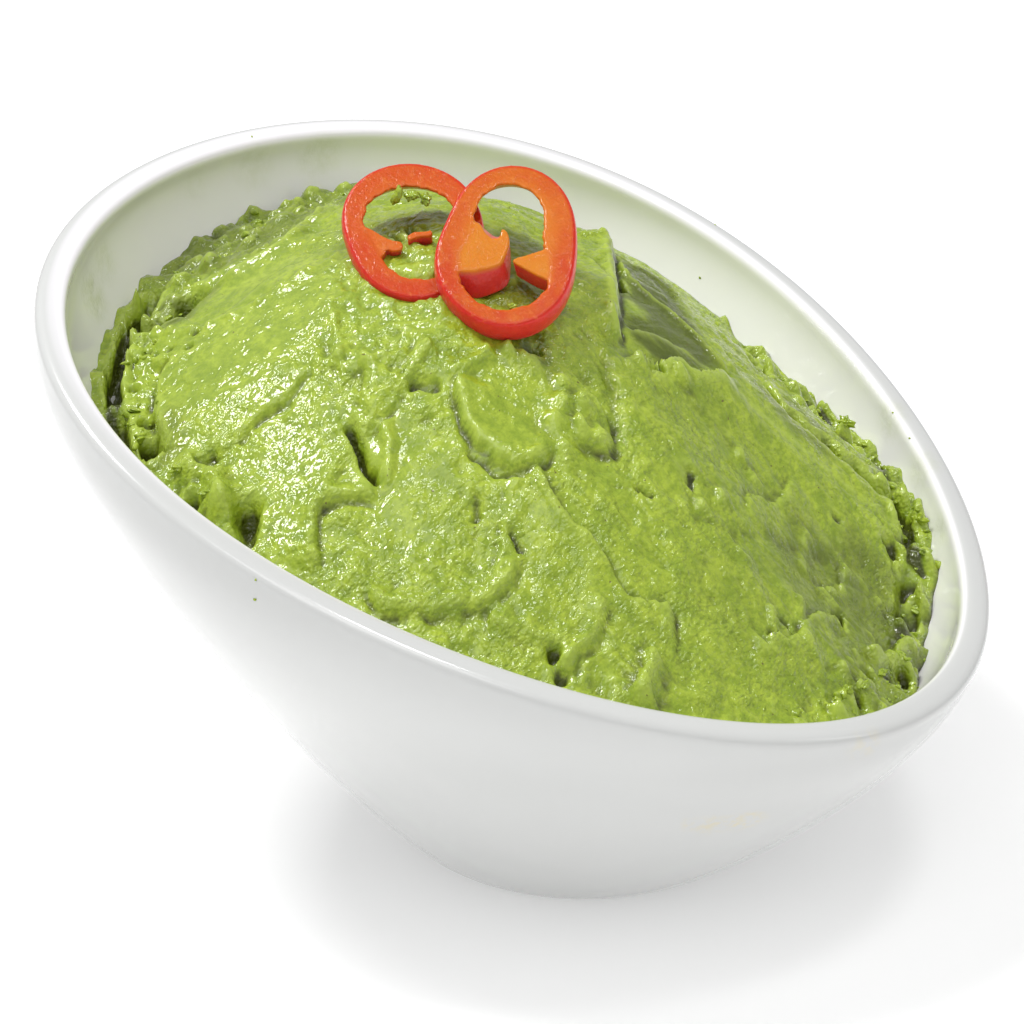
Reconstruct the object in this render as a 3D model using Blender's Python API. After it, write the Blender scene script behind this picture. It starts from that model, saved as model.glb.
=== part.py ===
"""Smoothed guacamole heaped in a slant-rimmed white bowl, with two slices of red pepper on top.

Lengths are in metres, +Z is up and the table is at z = 0. The origin is under the middle of the
rim, whose high end is towards -X and whose low end is towards +X.
"""

import math

import bmesh
import bpy
import numpy as np

MM = 0.001

# Rim: flat, tilted, and a little wider towards its high end.
RIM_RADIUS = 75 * MM
RIM_NARROWING = 0.166
RIM_TILT = math.radians(22.4)
RIM_HEIGHT = 70.8 * MM
RIM_SHIFT = 0.48 * MM
LIP_HEIGHT = 2.0 * MM
LIP_SQUARENESS = 2.8

# Body of the bowl.
WALL = 4.9 * MM
FOOT_RADIUS = 30.5 * MM
FOOT_SHIFT = 7.8 * MM
FOOT_WIDTH = 3.6 * MM
FOOT_EDGE = 0.7 * MM
FOOT_RECESS = 1.5 * MM
FLOOR_HEIGHT = 7.0 * MM
START_REACH, START_RISE = 0.09, 0.022
END_REACH, END_REACH_LEAN = 1.018, -0.139
END_RISE, END_RISE_LEAN = 0.747, -0.109

# Heap of guacamole, in the plan seen from above. Its height is counted from the rim's plane.
GAP = 0.4 * MM
PEAK = np.array([-7.0, -2.0]) * MM
PEAK_HEIGHT = 22 * MM
CROWN, SKIRT = 1.7, 1.3
EDGE_FADE = 0.14

# How far the edge lies below the rim's plane, by angle round the bowl from its low end.
EDGE_DEPTHS = (
    (0, 9.0), (23, 12.5), (31, 11.0), (43, 6.5), (50, 5.0), (58, 6.0), (73, 9.5), (95, 11.5),
    (116, 10.2), (135, 9.5), (170, 8.7), (190, 10.2), (210, 10.5), (225, 13.0), (250, 11.0),
    (280, 8.0), (320, 7.5),
)

# Strokes of the knife in the order they were made, in millimetres in plan: where each one starts
# and ends, its width, how far it lies above the heap at its start and end, how much it leans
# from its left side to its right, and the height of the lip that it leaves at its end.
STROKES = (
    ((-46, -34), (-38, -8), 15, (-1.6, -0.6), 0.06, 0.0),
    ((-31, -57), (-23, -24), 26, (0.2, 0.6), -0.06, 0.6),
    ((-13, -57), (-3, -30), 14, (-0.8, -0.4), 0.10, 0.0),
    ((-13, -23), (-9, -34), 14, (-0.4, -1.2), 0.0, 0.8),
    ((4, -28), (4, -48), 11, (-1.2, -0.8), -0.04, 0.6),
    ((13, -32), (17, -55), 17, (-1.4, 0.2), 0.02, 1.2),
    ((-9, 30), (19, 15), 20, (1.4, -0.2), -0.12, 0.0),
    ((22, -2), (42, 34), 30, (0.2, -0.4), -0.02, 0.6),
    ((45, -4), (51, 27), 14, (-1.2, -1.0), 0.04, 0.4),
    ((24, -26), (33, -43), 15, (0.4, 0.8), 0.05, 1.2),
    ((38, -25), (43, -37), 11, (-0.4, 0.6), 0.0, 1.2),
    ((7, -17), (13, -32), 15, (0.4, 1.6), -0.04, 1.6),
    ((15, -14), (20, -21), 7, (1.4, 1.8), 0.0, 0.6),
    ((-22, -17), (-9, -23), 12, (-0.4, -1.2), 0.0, 0.0),
)
STROKE_SOFTNESS = 2.2

# Slices of pepper. The plane of a slice faces the side that the heap shows most of.
SLICE_TURN, SLICE_LIFT = math.radians(39), math.radians(54)
SLICE_EDGE = 0.5 * MM
SKIN_BULGE = 0.25 * MM
TOP_SLICE = {
    "centre": np.array([0.3, -10.0, 100.1]) * MM,
    "thickness": 5.6 * MM,
    "radius": 12.9 * MM,
    "waves": ((0.4, -29), (2.4, 167), (0.35, -146), (0.2, 10)),
    "flesh": 4.8 * MM,
    "flesh_waves": ((0.6, 60), (0.5, 10), (0.3, 90)),
}
UNDER_SLICE = {
    "centre": np.array([-17.9, -11.9, 99.5]) * MM,
    "thickness": 5.0 * MM,
    "radius": 12.1 * MM,
    "waves": ((0.8, 10), (1.3, -150), (0.25, 100)),
    "flesh": 4.4 * MM,
    "flesh_waves": ((0.5, 120), (0.5, 160), (0.2, 0)),
}
TOP_RIBS = (
    ((-8.6, -1.4), (-0.8, -0.8), 6.2, 4.2),
    ((8.0, -3.6), (0.6, -3.0), 4.6, 3.4),
)
UNDER_RIBS = (((-7.6, -3.2), (-1.8, -3.4), 3.4, 3.0),)

# A rib's swelling along its length, as pairs of place and thickness, each from 0 to 1.
RIB_SWELL = ((0, 0.9), (0.4, 1.0), (0.8, 0.85), (0.97, 0.5))
RIB_ROOT = 0.6 * MM

# How finely the surfaces are divided.
AROUND = 64
WALL_STEPS = 12
INNER_STEPS = 10
CROWDING = 1.3
LIP_STEPS = 5
HEAP_STEPS = 22
HEAP_UNDERSTEPS = 7
SLICE_STEPS = 44
RIB_SIDES = 10
HALVINGS = 24
SHARP_ANGLE = math.radians(50)
ANGLES = np.linspace(0, 2 * math.pi, AROUND, endpoint=False)
RIM_NORMAL = np.array([math.sin(RIM_TILT), 0, math.cos(RIM_TILT)])


def material(name, colour, roughness, coat=0.0):
    """A plain Principled material."""
    made = bpy.data.materials.new(name)
    made.use_nodes = True
    shader = made.node_tree.nodes["Principled BSDF"]
    shader.inputs["Base Color"].default_value = (*colour, 1)
    shader.inputs["Roughness"].default_value = roughness
    shader.inputs["Metallic"].default_value = 0
    shader.inputs["Coat Weight"].default_value = coat
    made.diffuse_color = (*colour, 1)
    return made


def finish(name, shape, look=None):
    """Turns a bmesh into a named object in the scene."""
    bmesh.ops.recalc_face_normals(shape, faces=shape.faces)
    mesh = bpy.data.meshes.new(name)
    shape.to_mesh(mesh)
    shape.free()
    mesh.shade_smooth()
    mesh.set_sharp_from_angle(angle=SHARP_ANGLE)
    if look:
        mesh.materials.append(look)
    made = bpy.data.objects.new(name, mesh)
    bpy.context.scene.collection.objects.link(made)
    return made


def ring_edges(ring):
    """The edges that join each vertex of a closed ring to the next one."""
    edges = []
    for vert, following in zip(ring, ring[1:] + ring[:1]):
        edges.append(next(e for e in vert.link_edges if e.other_vert(vert) is following))
    return edges


def extruded_from(vert, fresh):
    """The new vertex that an extrusion made from this one."""
    return next(e.other_vert(vert) for e in vert.link_edges if e.other_vert(vert) in fresh)


def loft(stations, first_tip=None, last_tip=None):
    """A closed shape through rings of points, each ring extruded from the one before.

    With tips, the two open ends close in a fan to those points. Without, the last ring is
    bridged to the first.
    """
    shape = bmesh.new()
    made = bmesh.ops.create_circle(shape, segments=len(stations[0]), radius=RIM_RADIUS)
    first = list(made["verts"])
    ring = first
    for vert, place in zip(ring, stations[0]):
        vert.co = place
    for station in stations[1:]:
        made = bmesh.ops.extrude_edge_only(shape, edges=ring_edges(ring))["geom"]
        fresh = {item for item in made if isinstance(item, bmesh.types.BMVert)}
        ring = [extruded_from(vert, fresh) for vert in ring]
        for vert, place in zip(ring, station):
            vert.co = place
    if first_tip is None:
        bmesh.ops.bridge_loops(shape, edges=ring_edges(first) + ring_edges(ring))
        return shape
    for end, tip in ((first, first_tip), (ring, last_tip)):
        cap = bmesh.ops.contextual_create(shape, geom=ring_edges(end))["faces"]
        bmesh.ops.poke(shape, faces=cap)["verts"][0].co = tip
    return shape


def rim_line(angle):
    """A point of the rim's outer edge, before its lip is rounded."""
    x = RIM_RADIUS * np.cos(angle)
    y = RIM_RADIUS * np.sin(angle) * (1 - RIM_NARROWING * np.cos(angle))
    return np.stack([x + RIM_SHIFT, y, RIM_HEIGHT - math.tan(RIM_TILT) * x], -1)


def rim_outward(angle):
    """The direction in the rim's plane that points straight away from the bowl."""
    step = 1e-4
    along = rim_line(angle + step) - rim_line(angle - step)
    outward = np.cross(along, RIM_NORMAL)
    return outward / np.linalg.norm(outward, axis=-1, keepdims=True)


def wall_point(angle, height, inset=0.0, base=0.0):
    """A point on the wall, from the foot at height 0 to the rim at height 1.

    The outer face has no inset. The inner face is set in by the wall's thickness and starts at
    the floor's height, which is the base.
    """
    turn = np.stack([np.cos(angle), np.sin(angle)], -1)
    top = rim_line(angle) - RIM_NORMAL * LIP_HEIGHT / 2 - rim_outward(angle) * inset
    foot_radius = FOOT_RADIUS - max(inset - WALL, 0)
    middle = np.array([FOOT_SHIFT + RIM_SHIFT, 0])
    foot = np.concatenate([middle + foot_radius * turn, base + 0 * turn[..., :1]], -1)
    lean = turn[..., :1]
    start = foot + (top - foot) * np.array([START_REACH, START_REACH, START_RISE])
    reach = END_REACH + END_REACH_LEAN * lean
    rise = END_RISE + END_RISE_LEAN * lean
    end = foot + (top - foot) * np.concatenate([reach, reach, rise], -1)
    h = np.asarray(height, float)[..., None]
    return (1 - h) ** 3 * foot + 3 * h * (1 - h) ** 2 * start + 3 * h * h * (1 - h) * end + h**3 * top


def lip_point(angle, turn):
    """A point on the rounded lip. The turn runs from 0 at the outer face to pi at the inner."""
    outward = rim_outward(angle)
    middle = rim_line(angle) - RIM_NORMAL * LIP_HEIGHT / 2 - outward * WALL / 2
    power = 2 / LIP_SQUARENESS
    across = math.copysign(abs(math.cos(turn)) ** power, math.cos(turn)) * WALL / 2
    return middle + outward * across + RIM_NORMAL * LIP_HEIGHT * math.sin(turn) ** power


def make_bowl():
    """One thick wall from a recessed foot to a rounded, tilted rim."""
    foot = wall_point(ANGLES, np.zeros(AROUND))
    middle = np.array([FOOT_SHIFT + RIM_SHIFT, 0, 0])

    def foot_ring(inwards, up):
        pulled = middle + (foot - middle) * (1 - inwards / FOOT_RADIUS)
        return pulled + np.array([0, 0, up])

    stations = [
        foot_ring(FOOT_WIDTH + FOOT_RECESS, FOOT_RECESS),
        foot_ring(FOOT_WIDTH + FOOT_EDGE, FOOT_EDGE / 2),
        foot_ring(FOOT_WIDTH, 0),
        foot_ring(FOOT_EDGE, 0),
    ]
    for height in np.linspace(0, 1, WALL_STEPS)[1:] ** CROWDING:
        stations.append(wall_point(ANGLES, np.full(AROUND, height)))
    for turn in np.linspace(0, math.pi, LIP_STEPS + 2)[1:-1]:
        stations.append(lip_point(ANGLES, turn))
    for height in np.linspace(1, 0, INNER_STEPS) ** CROWDING:
        stations.append(wall_point(ANGLES, np.full(AROUND, height), WALL, FLOOR_HEIGHT))
    shape = loft(stations, middle + [0, 0, FOOT_RECESS], middle + [0, 0, FLOOR_HEIGHT])
    return finish("bowl", shape, material("glazed_white", (0.82, 0.83, 0.80), 0.15, 0.5))


def smooth_step(value):
    value = np.clip(value, 0, 1)
    return value * value * (3 - 2 * value)


def edge_depth(angle):
    """How far below the rim's plane the heap meets the wall."""
    degrees = np.degrees(angle) % 360
    marks = EDGE_DEPTHS + ((EDGE_DEPTHS[0][0] + 360, EDGE_DEPTHS[0][1]),)
    depth = np.zeros_like(degrees)
    for (start, low), (stop, high) in zip(marks, marks[1:]):
        inside = (degrees >= start) & (degrees < stop)
        blend = smooth_step((degrees - start) / (stop - start))
        depth = np.where(inside, low + (high - low) * blend, depth)
    return depth * MM


def edge_heights():
    """The height on the inner wall, from 0 to 1, at which the heap's edge lies at each angle."""
    depth = edge_depth(ANGLES)
    low, high = np.zeros(AROUND), np.ones(AROUND)
    rim_middle = np.array([RIM_SHIFT, 0, RIM_HEIGHT])
    for _ in range(HALVINGS):
        middle = (low + high) / 2
        below = (rim_middle - heap_wall(middle)) @ RIM_NORMAL
        low = np.where(below > depth, middle, low)
        high = np.where(below > depth, high, middle)
    return (low + high) / 2


def heap_wall(height):
    """Points just clear of the bowl's inner face, one for each angle."""
    return wall_point(ANGLES, height, WALL + GAP, FLOOR_HEIGHT + GAP)


def rim_level(x):
    return RIM_HEIGHT - math.tan(RIM_TILT) * (x - RIM_SHIFT)


def knife_work(x, y, level):
    """The heap's height above the rim's plane after every stroke has flattened its own patch."""
    plain = level.copy()
    for (x0, y0), (x1, y1), width, lift, lean, lip in STROKES:
        start, run = np.array([x0, y0]) * MM, np.array([x1 - x0, y1 - y0]) * MM
        length = np.linalg.norm(run)
        run = run / length
        along = ((x - start[0]) * run[0] + (y - start[1]) * run[1]) / length
        across = (x - start[0]) * run[1] - (y - start[1]) * run[0]
        half = width * MM / 2
        soft = STROKE_SOFTNESS * MM
        inside = smooth_step((half - np.abs(across)) / soft + 0.5)
        inside = inside * smooth_step(along * length / soft + 0.5)
        inside = inside * smooth_step((1 - along) * length / soft + 0.5)
        raised = (lift[0] + (lift[1] - lift[0]) * np.clip(along, 0, 1)) * MM + lean * across
        level = level * (1 - inside) + (plain + raised) * inside
        ridge = np.exp(-(((1 - along) * length / soft) ** 2)) * (np.abs(across) < half)
        level = level + lip * MM * ridge
    return level


def make_heap():
    """Guacamole up to a smoothed dome, and down to just clear of the bowl's inner face."""
    edge = edge_heights()
    rim = heap_wall(edge)
    edge_level = rim[:, 2] - rim_level(rim[:, 0])
    stations = []
    for out in np.linspace(0, 1, HEAP_STEPS + 1)[1:]:
        x, y = (PEAK + out * (rim[:, :2] - PEAK)).T
        plain = edge_level + (PEAK_HEIGHT - edge_level) * (1 - out**CROWN) ** SKIRT
        worked = knife_work(x, y, plain)
        level = plain + (worked - plain) * smooth_step((1 - out) / EDGE_FADE)
        stations.append(np.stack([x, y, rim_level(x) + level], -1))
    for height in np.linspace(1, 0, HEAP_UNDERSTEPS)[1:]:
        stations.append(heap_wall(edge * height))
    tip = np.array([*PEAK, rim_level(PEAK[0]) + PEAK_HEIGHT])
    bottom = np.array([FOOT_SHIFT + RIM_SHIFT, 0, FLOOR_HEIGHT + GAP])
    return finish("guacamole", loft(stations, tip, bottom), material("guacamole", (0.36, 0.50, 0.09), 0.35))


def slice_axes():
    """The three directions of a slice: to its right, up its slope, and out of its cut face."""
    turn, lift = SLICE_TURN, SLICE_LIFT
    face = np.array([math.sin(turn) * math.cos(lift), -math.cos(turn) * math.cos(lift), math.sin(lift)])
    across = np.array([math.cos(turn), math.sin(turn), 0])
    return across, np.cross(face, across), face


def waved(radius, waves, angle):
    """A radius with a few waves, each given by its height in millimetres and where it peaks."""
    total = np.full_like(angle, radius)
    for count, (height, peak) in enumerate(waves, 1):
        total += height * MM * np.cos(count * angle - math.radians(peak))
    return total


def place_in_slice(centre, flat, depth):
    """Points given in a slice's own plane, at a depth below its upper cut face."""
    across, upward, face = slice_axes()
    return centre + flat[..., :1] * across + flat[..., 1:] * upward - face * depth


def slice_band(sizes, grown=0.0):
    """The closed band of flesh round a slice, with both edges of its skin rounded."""
    angle = np.linspace(0, 2 * math.pi, SLICE_STEPS, endpoint=False)
    turn = np.stack([np.cos(angle), np.sin(angle)], -1)
    outer = waved(sizes["radius"], sizes["waves"], angle)[:, None]
    flesh = waved(sizes["flesh"], sizes["flesh_waves"], angle)[:, None]
    inner = outer - flesh
    deep, edge = sizes["thickness"], SLICE_EDGE
    section = (
        (outer - edge + grown, -grown),
        (outer + grown, edge - grown),
        (outer + SKIN_BULGE + grown, deep / 2),
        (outer + grown, deep - edge + grown),
        (outer - edge + grown, deep + grown),
        (inner + edge - grown, deep + grown),
        (inner - grown, deep - edge + grown),
        (inner - grown, edge - grown),
        (inner + edge - grown, -grown),
    )
    return loft([place_in_slice(sizes["centre"], turn * radius, depth) for radius, depth in section])


def slice_rib(sizes, start, stop, width, height, grown=0.0):
    """A rounded rib of membrane that runs from the flesh into the hollow of a slice."""
    start, run = np.array(start) * MM, (np.array(stop) - np.array(start)) * MM
    length = np.linalg.norm(run)
    run = run / length
    side = np.array([-run[1], run[0]])
    turn = np.linspace(0, 2 * math.pi, RIB_SIDES, endpoint=False)[:, None]
    stations = []
    for along, swell in RIB_SWELL:
        half_width = width * MM / 2 * swell + grown
        half_height = height * MM / 2 * swell + grown
        flat = start + run * along * length + side * np.cos(turn) * half_width
        depth = sizes["thickness"] / 2 + np.sin(turn) * half_height
        stations.append(place_in_slice(sizes["centre"], flat, depth))
    flat_ends = np.array([start - run * RIB_ROOT, start + run * (length + grown)])
    tips = place_in_slice(sizes["centre"], flat_ends, sizes["thickness"] / 2)
    return loft(stations, tips[0], tips[1])


def combine(body, tool, operation):
    """Joins or cuts a body with a tool, and hides the tool."""
    tool.hide_render = True
    tool.display_type = "WIRE"
    change = body.modifiers.new(tool.name, "BOOLEAN")
    change.operation = operation
    change.object = tool


def make_slice(name, sizes, ribs, look):
    """A slice of pepper: its band of flesh with the ribs joined on."""
    body = finish(name, slice_band(sizes), look)
    for count, rib in enumerate(ribs, 1):
        combine(body, finish(f"{name}_rib_{count}", slice_rib(sizes, *rib), look), "UNION")
    return body


def press_in(heap, name, sizes, ribs):
    """Sinks a slice into the heap, which keeps a small gap round it."""
    combine(heap, finish(f"{name}_seat", slice_band(sizes, GAP)), "DIFFERENCE")
    for count, rib in enumerate(ribs, 1):
        combine(heap, finish(f"{name}_rib_seat_{count}", slice_rib(sizes, *rib, GAP)), "DIFFERENCE")


for old in list(bpy.data.objects):
    bpy.data.objects.remove(old)
pepper = material("red_pepper", (0.75, 0.08, 0.02), 0.2, 0.4)
make_bowl()
guacamole = make_heap()
make_slice("pepper_slice_top", TOP_SLICE, TOP_RIBS, pepper)
make_slice("pepper_slice_under", UNDER_SLICE, UNDER_RIBS, pepper)
press_in(guacamole, "pepper_slice_top", TOP_SLICE, TOP_RIBS)
press_in(guacamole, "pepper_slice_under", UNDER_SLICE, UNDER_RIBS)
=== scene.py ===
"""Looks of a slant-rimmed white bowl heaped with guacamole, with two slices of red pepper on top.

The frame is in metres, +Z up, with the table at z = 0. Sizes here are in millimetres, and a shape is
brought to metres when its mesh is made. The rim's high end is towards -X and its low end towards +X.
"""

import math

import bpy
import numpy as np
from mathutils import Matrix, Vector


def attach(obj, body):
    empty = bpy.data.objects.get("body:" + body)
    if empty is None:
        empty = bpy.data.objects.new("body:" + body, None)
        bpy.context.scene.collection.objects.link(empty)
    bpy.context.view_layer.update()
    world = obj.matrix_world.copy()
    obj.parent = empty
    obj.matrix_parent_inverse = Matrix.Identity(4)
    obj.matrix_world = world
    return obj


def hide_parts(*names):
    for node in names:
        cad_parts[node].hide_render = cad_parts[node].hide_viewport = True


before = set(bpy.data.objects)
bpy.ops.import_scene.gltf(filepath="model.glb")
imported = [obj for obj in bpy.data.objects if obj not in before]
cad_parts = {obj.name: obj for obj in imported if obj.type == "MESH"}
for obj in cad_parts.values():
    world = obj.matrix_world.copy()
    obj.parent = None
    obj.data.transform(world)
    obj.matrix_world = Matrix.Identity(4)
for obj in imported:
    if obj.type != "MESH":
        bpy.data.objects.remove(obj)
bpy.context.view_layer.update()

MM = 0.001

# ------------------------------------------------------------------------------------------
# Sizes of the bowl
# ------------------------------------------------------------------------------------------
RIM_RADIUS, RIM_NARROWING, RIM_HEIGHT, RIM_SHIFT = 75.0, 0.166, 70.8, 0.48
RIM_TILT = math.radians(22.4)
RIM_NORMAL = np.array([math.sin(RIM_TILT), 0, math.cos(RIM_TILT)])
LIP_HEIGHT, LIP_SQUARENESS = 2.0, 2.8
WALL = 4.9
FOOT_RADIUS, FOOT_SHIFT, FOOT_WIDTH, FOOT_EDGE, FOOT_RECESS = 30.5, 7.8, 3.6, 0.7, 1.5
FLOOR_HEIGHT = 7.0
START_REACH, START_RISE = 0.09, 0.022
END_REACH, END_REACH_LEAN = 1.018, -0.139
END_RISE, END_RISE_LEAN = 0.747, -0.109
BOWL_AROUND, BOWL_WALL_RINGS, BOWL_INNER_RINGS, BOWL_LIP_RINGS = 288, 56, 56, 22
RING_CROWDING = 1.15

ARC_POINTS = 9


def arc(middle, radius, start, stop):
    """Points round part of a circle, from one angle in degrees to another."""
    return tuple((middle[0] + radius * math.cos(turn), middle[1] + radius * math.sin(turn))
                 for turn in np.radians(np.linspace(start, stop, ARC_POINTS)))


# ------------------------------------------------------------------------------------------
# Sizes of the heap, in the plan seen from above
# ------------------------------------------------------------------------------------------
FLAP = (11.3, -22.6)
PEAK = np.array([-7.0, -2.0])
PEAK_HEIGHT, CROWN, SKIRT = 22.0, 1.7, 1.3
HEAP_SINK = 0.15
HEAP_GRID = 300
EDGE_ANGLES, HALVINGS = 720, 24

# Where the heap meets the wall: angle from the low end, depth below the rim's plane.
EDGE_DEPTHS = (
    (0, 9.0), (23, 12.5), (31, 11.0), (43, 6.5), (50, 5.0), (58, 6.0), (73, 9.5), (95, 11.5),
    (116, 10.2), (135, 9.5), (160, 8.9), (176, 10.6), (192, 12.6), (206, 13.6), (225, 13.6), (250, 11.0),
    (280, 8.0), (320, 7.5),
)

# Strokes of the knife: start, end, width, lift at start and end, lean across, lip at the end.
STROKES = (
    ((-46, -34), (-38, -8), 15, (-0.7, -0.3), 0.03, 0.0),
    ((-31, -57), (-23, -24), 26, (0.1, 0.1), -0.015, 0.0),
    ((-13, -57), (-3, -30), 14, (-0.2, -0.2), 0.03, 0.0),
    ((-13, -23), (-9, -34), 14, (-0.3, -0.9), 0.0, 0.4),
    ((3, -33), (4, -50), 11, (-0.6, -0.5), -0.03, 0.3),
    ((14, -37), (17, -55), 17, (-0.4, 0.1), 0.02, 0.5),
    ((-9, 30), (19, 15), 20, (1.4, -0.6), -0.15, 0.0),
    ((22, -2), (42, 34), 30, (0.1, -0.3), -0.02, 0.3),
    ((45, -4), (51, 27), 14, (-1.0, -0.9), 0.03, 0.2),
    ((24, -26), (33, -43), 15, (0.3, 0.5), 0.04, 0.5),
    ((38, -25), (43, -37), 11, (-0.3, 0.4), 0.0, 0.5),
    ((15, -14), (20, -21), 7, (0.3, 0.5), 0.0, 0.2),
    ((-22, -17), (-9, -23), 12, (-0.3, -0.8), 0.0, 0.0),
)
STROKE_SOFTNESS = 1.4
SMEAR_STEP = 0.6
REACH_EVENED = 18
GAP_START, GAP_END, GAP_SHADE = 0.915, 0.968, 0.3
TORN_START, TORN_WIDTH, LEAST_TORN = 0.935, 0.055, 0.25
SIDE_RINGS = (0.97, 0.9, 0.7, 0.4, 0.0)
COARSE_CHUNK, FINE_CHUNK = 4.6, 1.9
SUNK_ROUNDS = 10

# Edges where one layer ends on another. The layer lies on the path's left: path, height, how far
# behind its edge it runs out, and the depth of the crease at its foot.
LAYERS = (
    (((-20, -58), (-17, -49), (-15, -42), (-15, -38)), 0.4, 12, 0.4),
    (((-3, -43), (-1, -38), (-2, -22)), 0.4, 8, 0.3),
    (((6, -60), (1, -55), (1, -51), (6, -46)), 1.1, 6, 0.5),
    (arc(FLAP, 8, 190, 375), 1.1, 10, 0.75),
    (((47, -28), (42, -23), (40, -24), (37, -27), (30, -26), (25, -28), (18, -25)), 1.0, 9, 0.7),
    (((12, -55), (14, -57), (17, -56), (24, -47), (26, -42), (25, -36)), 1.0, 7, 0.5),
    (((13, 2), (3, 15), (-15, 36)), 2.6, 9, 0.8),
    (((21, 24), (20, 14), (18, 12), (17, 8), (14, 1)), 1.8, 8, 1.4),
    (((-30, -56), (-37, -50), (-40, -46), (-41, -42)), -1.8, 8, 0.0),
    (((37, -44), (38, -36), (36, -30)), 1.0, 5, 0.4),
    (((-30, -19), (-33, -29), (-42, -36), (-54, -39)), 0.4, 4, 0.2),
    (((12, -10), (20, -10), (23, -14), (19, -21)), -1.2, 6, 0.0),
    (((-49, 3), (-45, -9), (-44, -16), (-50, -25)), 1.5, 6, 1.2),
    (((56, 7), (51, 9), (51, 2), (53, -6), (51, -8), (52, -11), (48, -12)), 0.9, 5, 0.4),
    (((-13, -36), (-10, -34), (-7, -35), (-4, -40)), 0.7, 6, 0.3),
    (((34, 22), (36, 15), (35, 8), (38, 3)), 0.7, 6, 0.4),
    (((44, 22), (47, 16), (46, 10)), 0.7, 5, 0.4),
)

# Rounded ridges: path, height, width.
RIDGES = (
    (((-21, -27), (-12, -35), (-8, -34), (-4, -27)), 1.1, 1.5),
    (((-1, -38), (2, -40), (6, -45)), 1.3, 1.4),
    (((-62, -29), (-57, -36), (-45, -49)), 3.4, 1.6),
    (((-6, 27), (1, 23), (22, 23)), 1.0, 1.1),
    (((44, -29), (47, -37)), 2.4, 2.2),
    (((17, -24), (22, -28), (28, -28)), 0.9, 1.3),
    (((40, 17), (45, 9)), 1.0, 1.5),
    (((4, -18), (4, -22), (2, -27)), 0.9, 1.5),
    (((26, -8), (30, -2), (33, 5), (34, 13)), 0.5, 2.4),
    (((57, 9), (58, 15), (56, 25)), 2.8, 2.2),
    (((51, -8), (48, -5)), 0.8, 1.2),
    (((52, -2), (48, 3)), 1.0, 1.3),
    (((-2, -25), (-1, -33)), 0.9, 1.6),
)

# Cuts and hollows: path, depth, width.
CUTS = (
    (((-5, -41), (-1, -43), (5, -45)), 4.4, 1.3),
    (((-17, -49), (-15, -44)), 0.6, 0.8),
    (((-21, -58), (-19, -54)), 2.0, 1.4),
    (((-9, -31), (-3, -27)), 0.4, 1.8),
    (((-1, -32), (3, -28)), 1.6, 1.5),
    (((-55, -38), (-52, -32), (-52, -24)), 5.5, 3.6),
    (arc(FLAP, 9.5, 262, 325), 1.1, 0.7),
    (((15, -35), (18, -38)), 1.0, 1.2),
    (((49, 12), (52, 9)), 3.4, 1.0),
    (((21, -35), (25, -36)), 1.3, 1.0),
    (((12, -2), (19, -7), (22, -13)), 1.2, 2.2),
    (((12, 42), (20, 36), (26, 35), (38, 42), (42, 41)), 3.6, 2.2),
    (((-1, 20), (3, 18)), 2.6, 1.1),
    (((17, 4), (18, 8)), 3.4, 1.2),
    (((31, -2), (32, -5)), 2.0, 0.9),
    (((28, -14), (31, -12)), 1.6, 0.9),
    (((-10, -57), (-8, -60), (-6, -64)), 5.0, 2.8),
    (((-18, -62), (-15, -63)), 3.5, 1.6),
    (((-33, -56), (-27, -59)), 6.5, 2.6),
    (((1, 59), (11, 47)), 5.5, 2.2),
    (((23, 37), (28, 34)), 4.0, 1.8),
    (((37, 41), (39, 43), (40, 47)), 4.0, 1.6),
    (((-24, -10), (-19, -11)), 2.2, 0.9),
    (((-23, -7), (-18, -9)), 2.6, 1.0),
    (((52, -8), (50, -9)), 1.2, 1.2),
    (((51, -4), (49, -5)), 1.4, 1.3),
)

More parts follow.
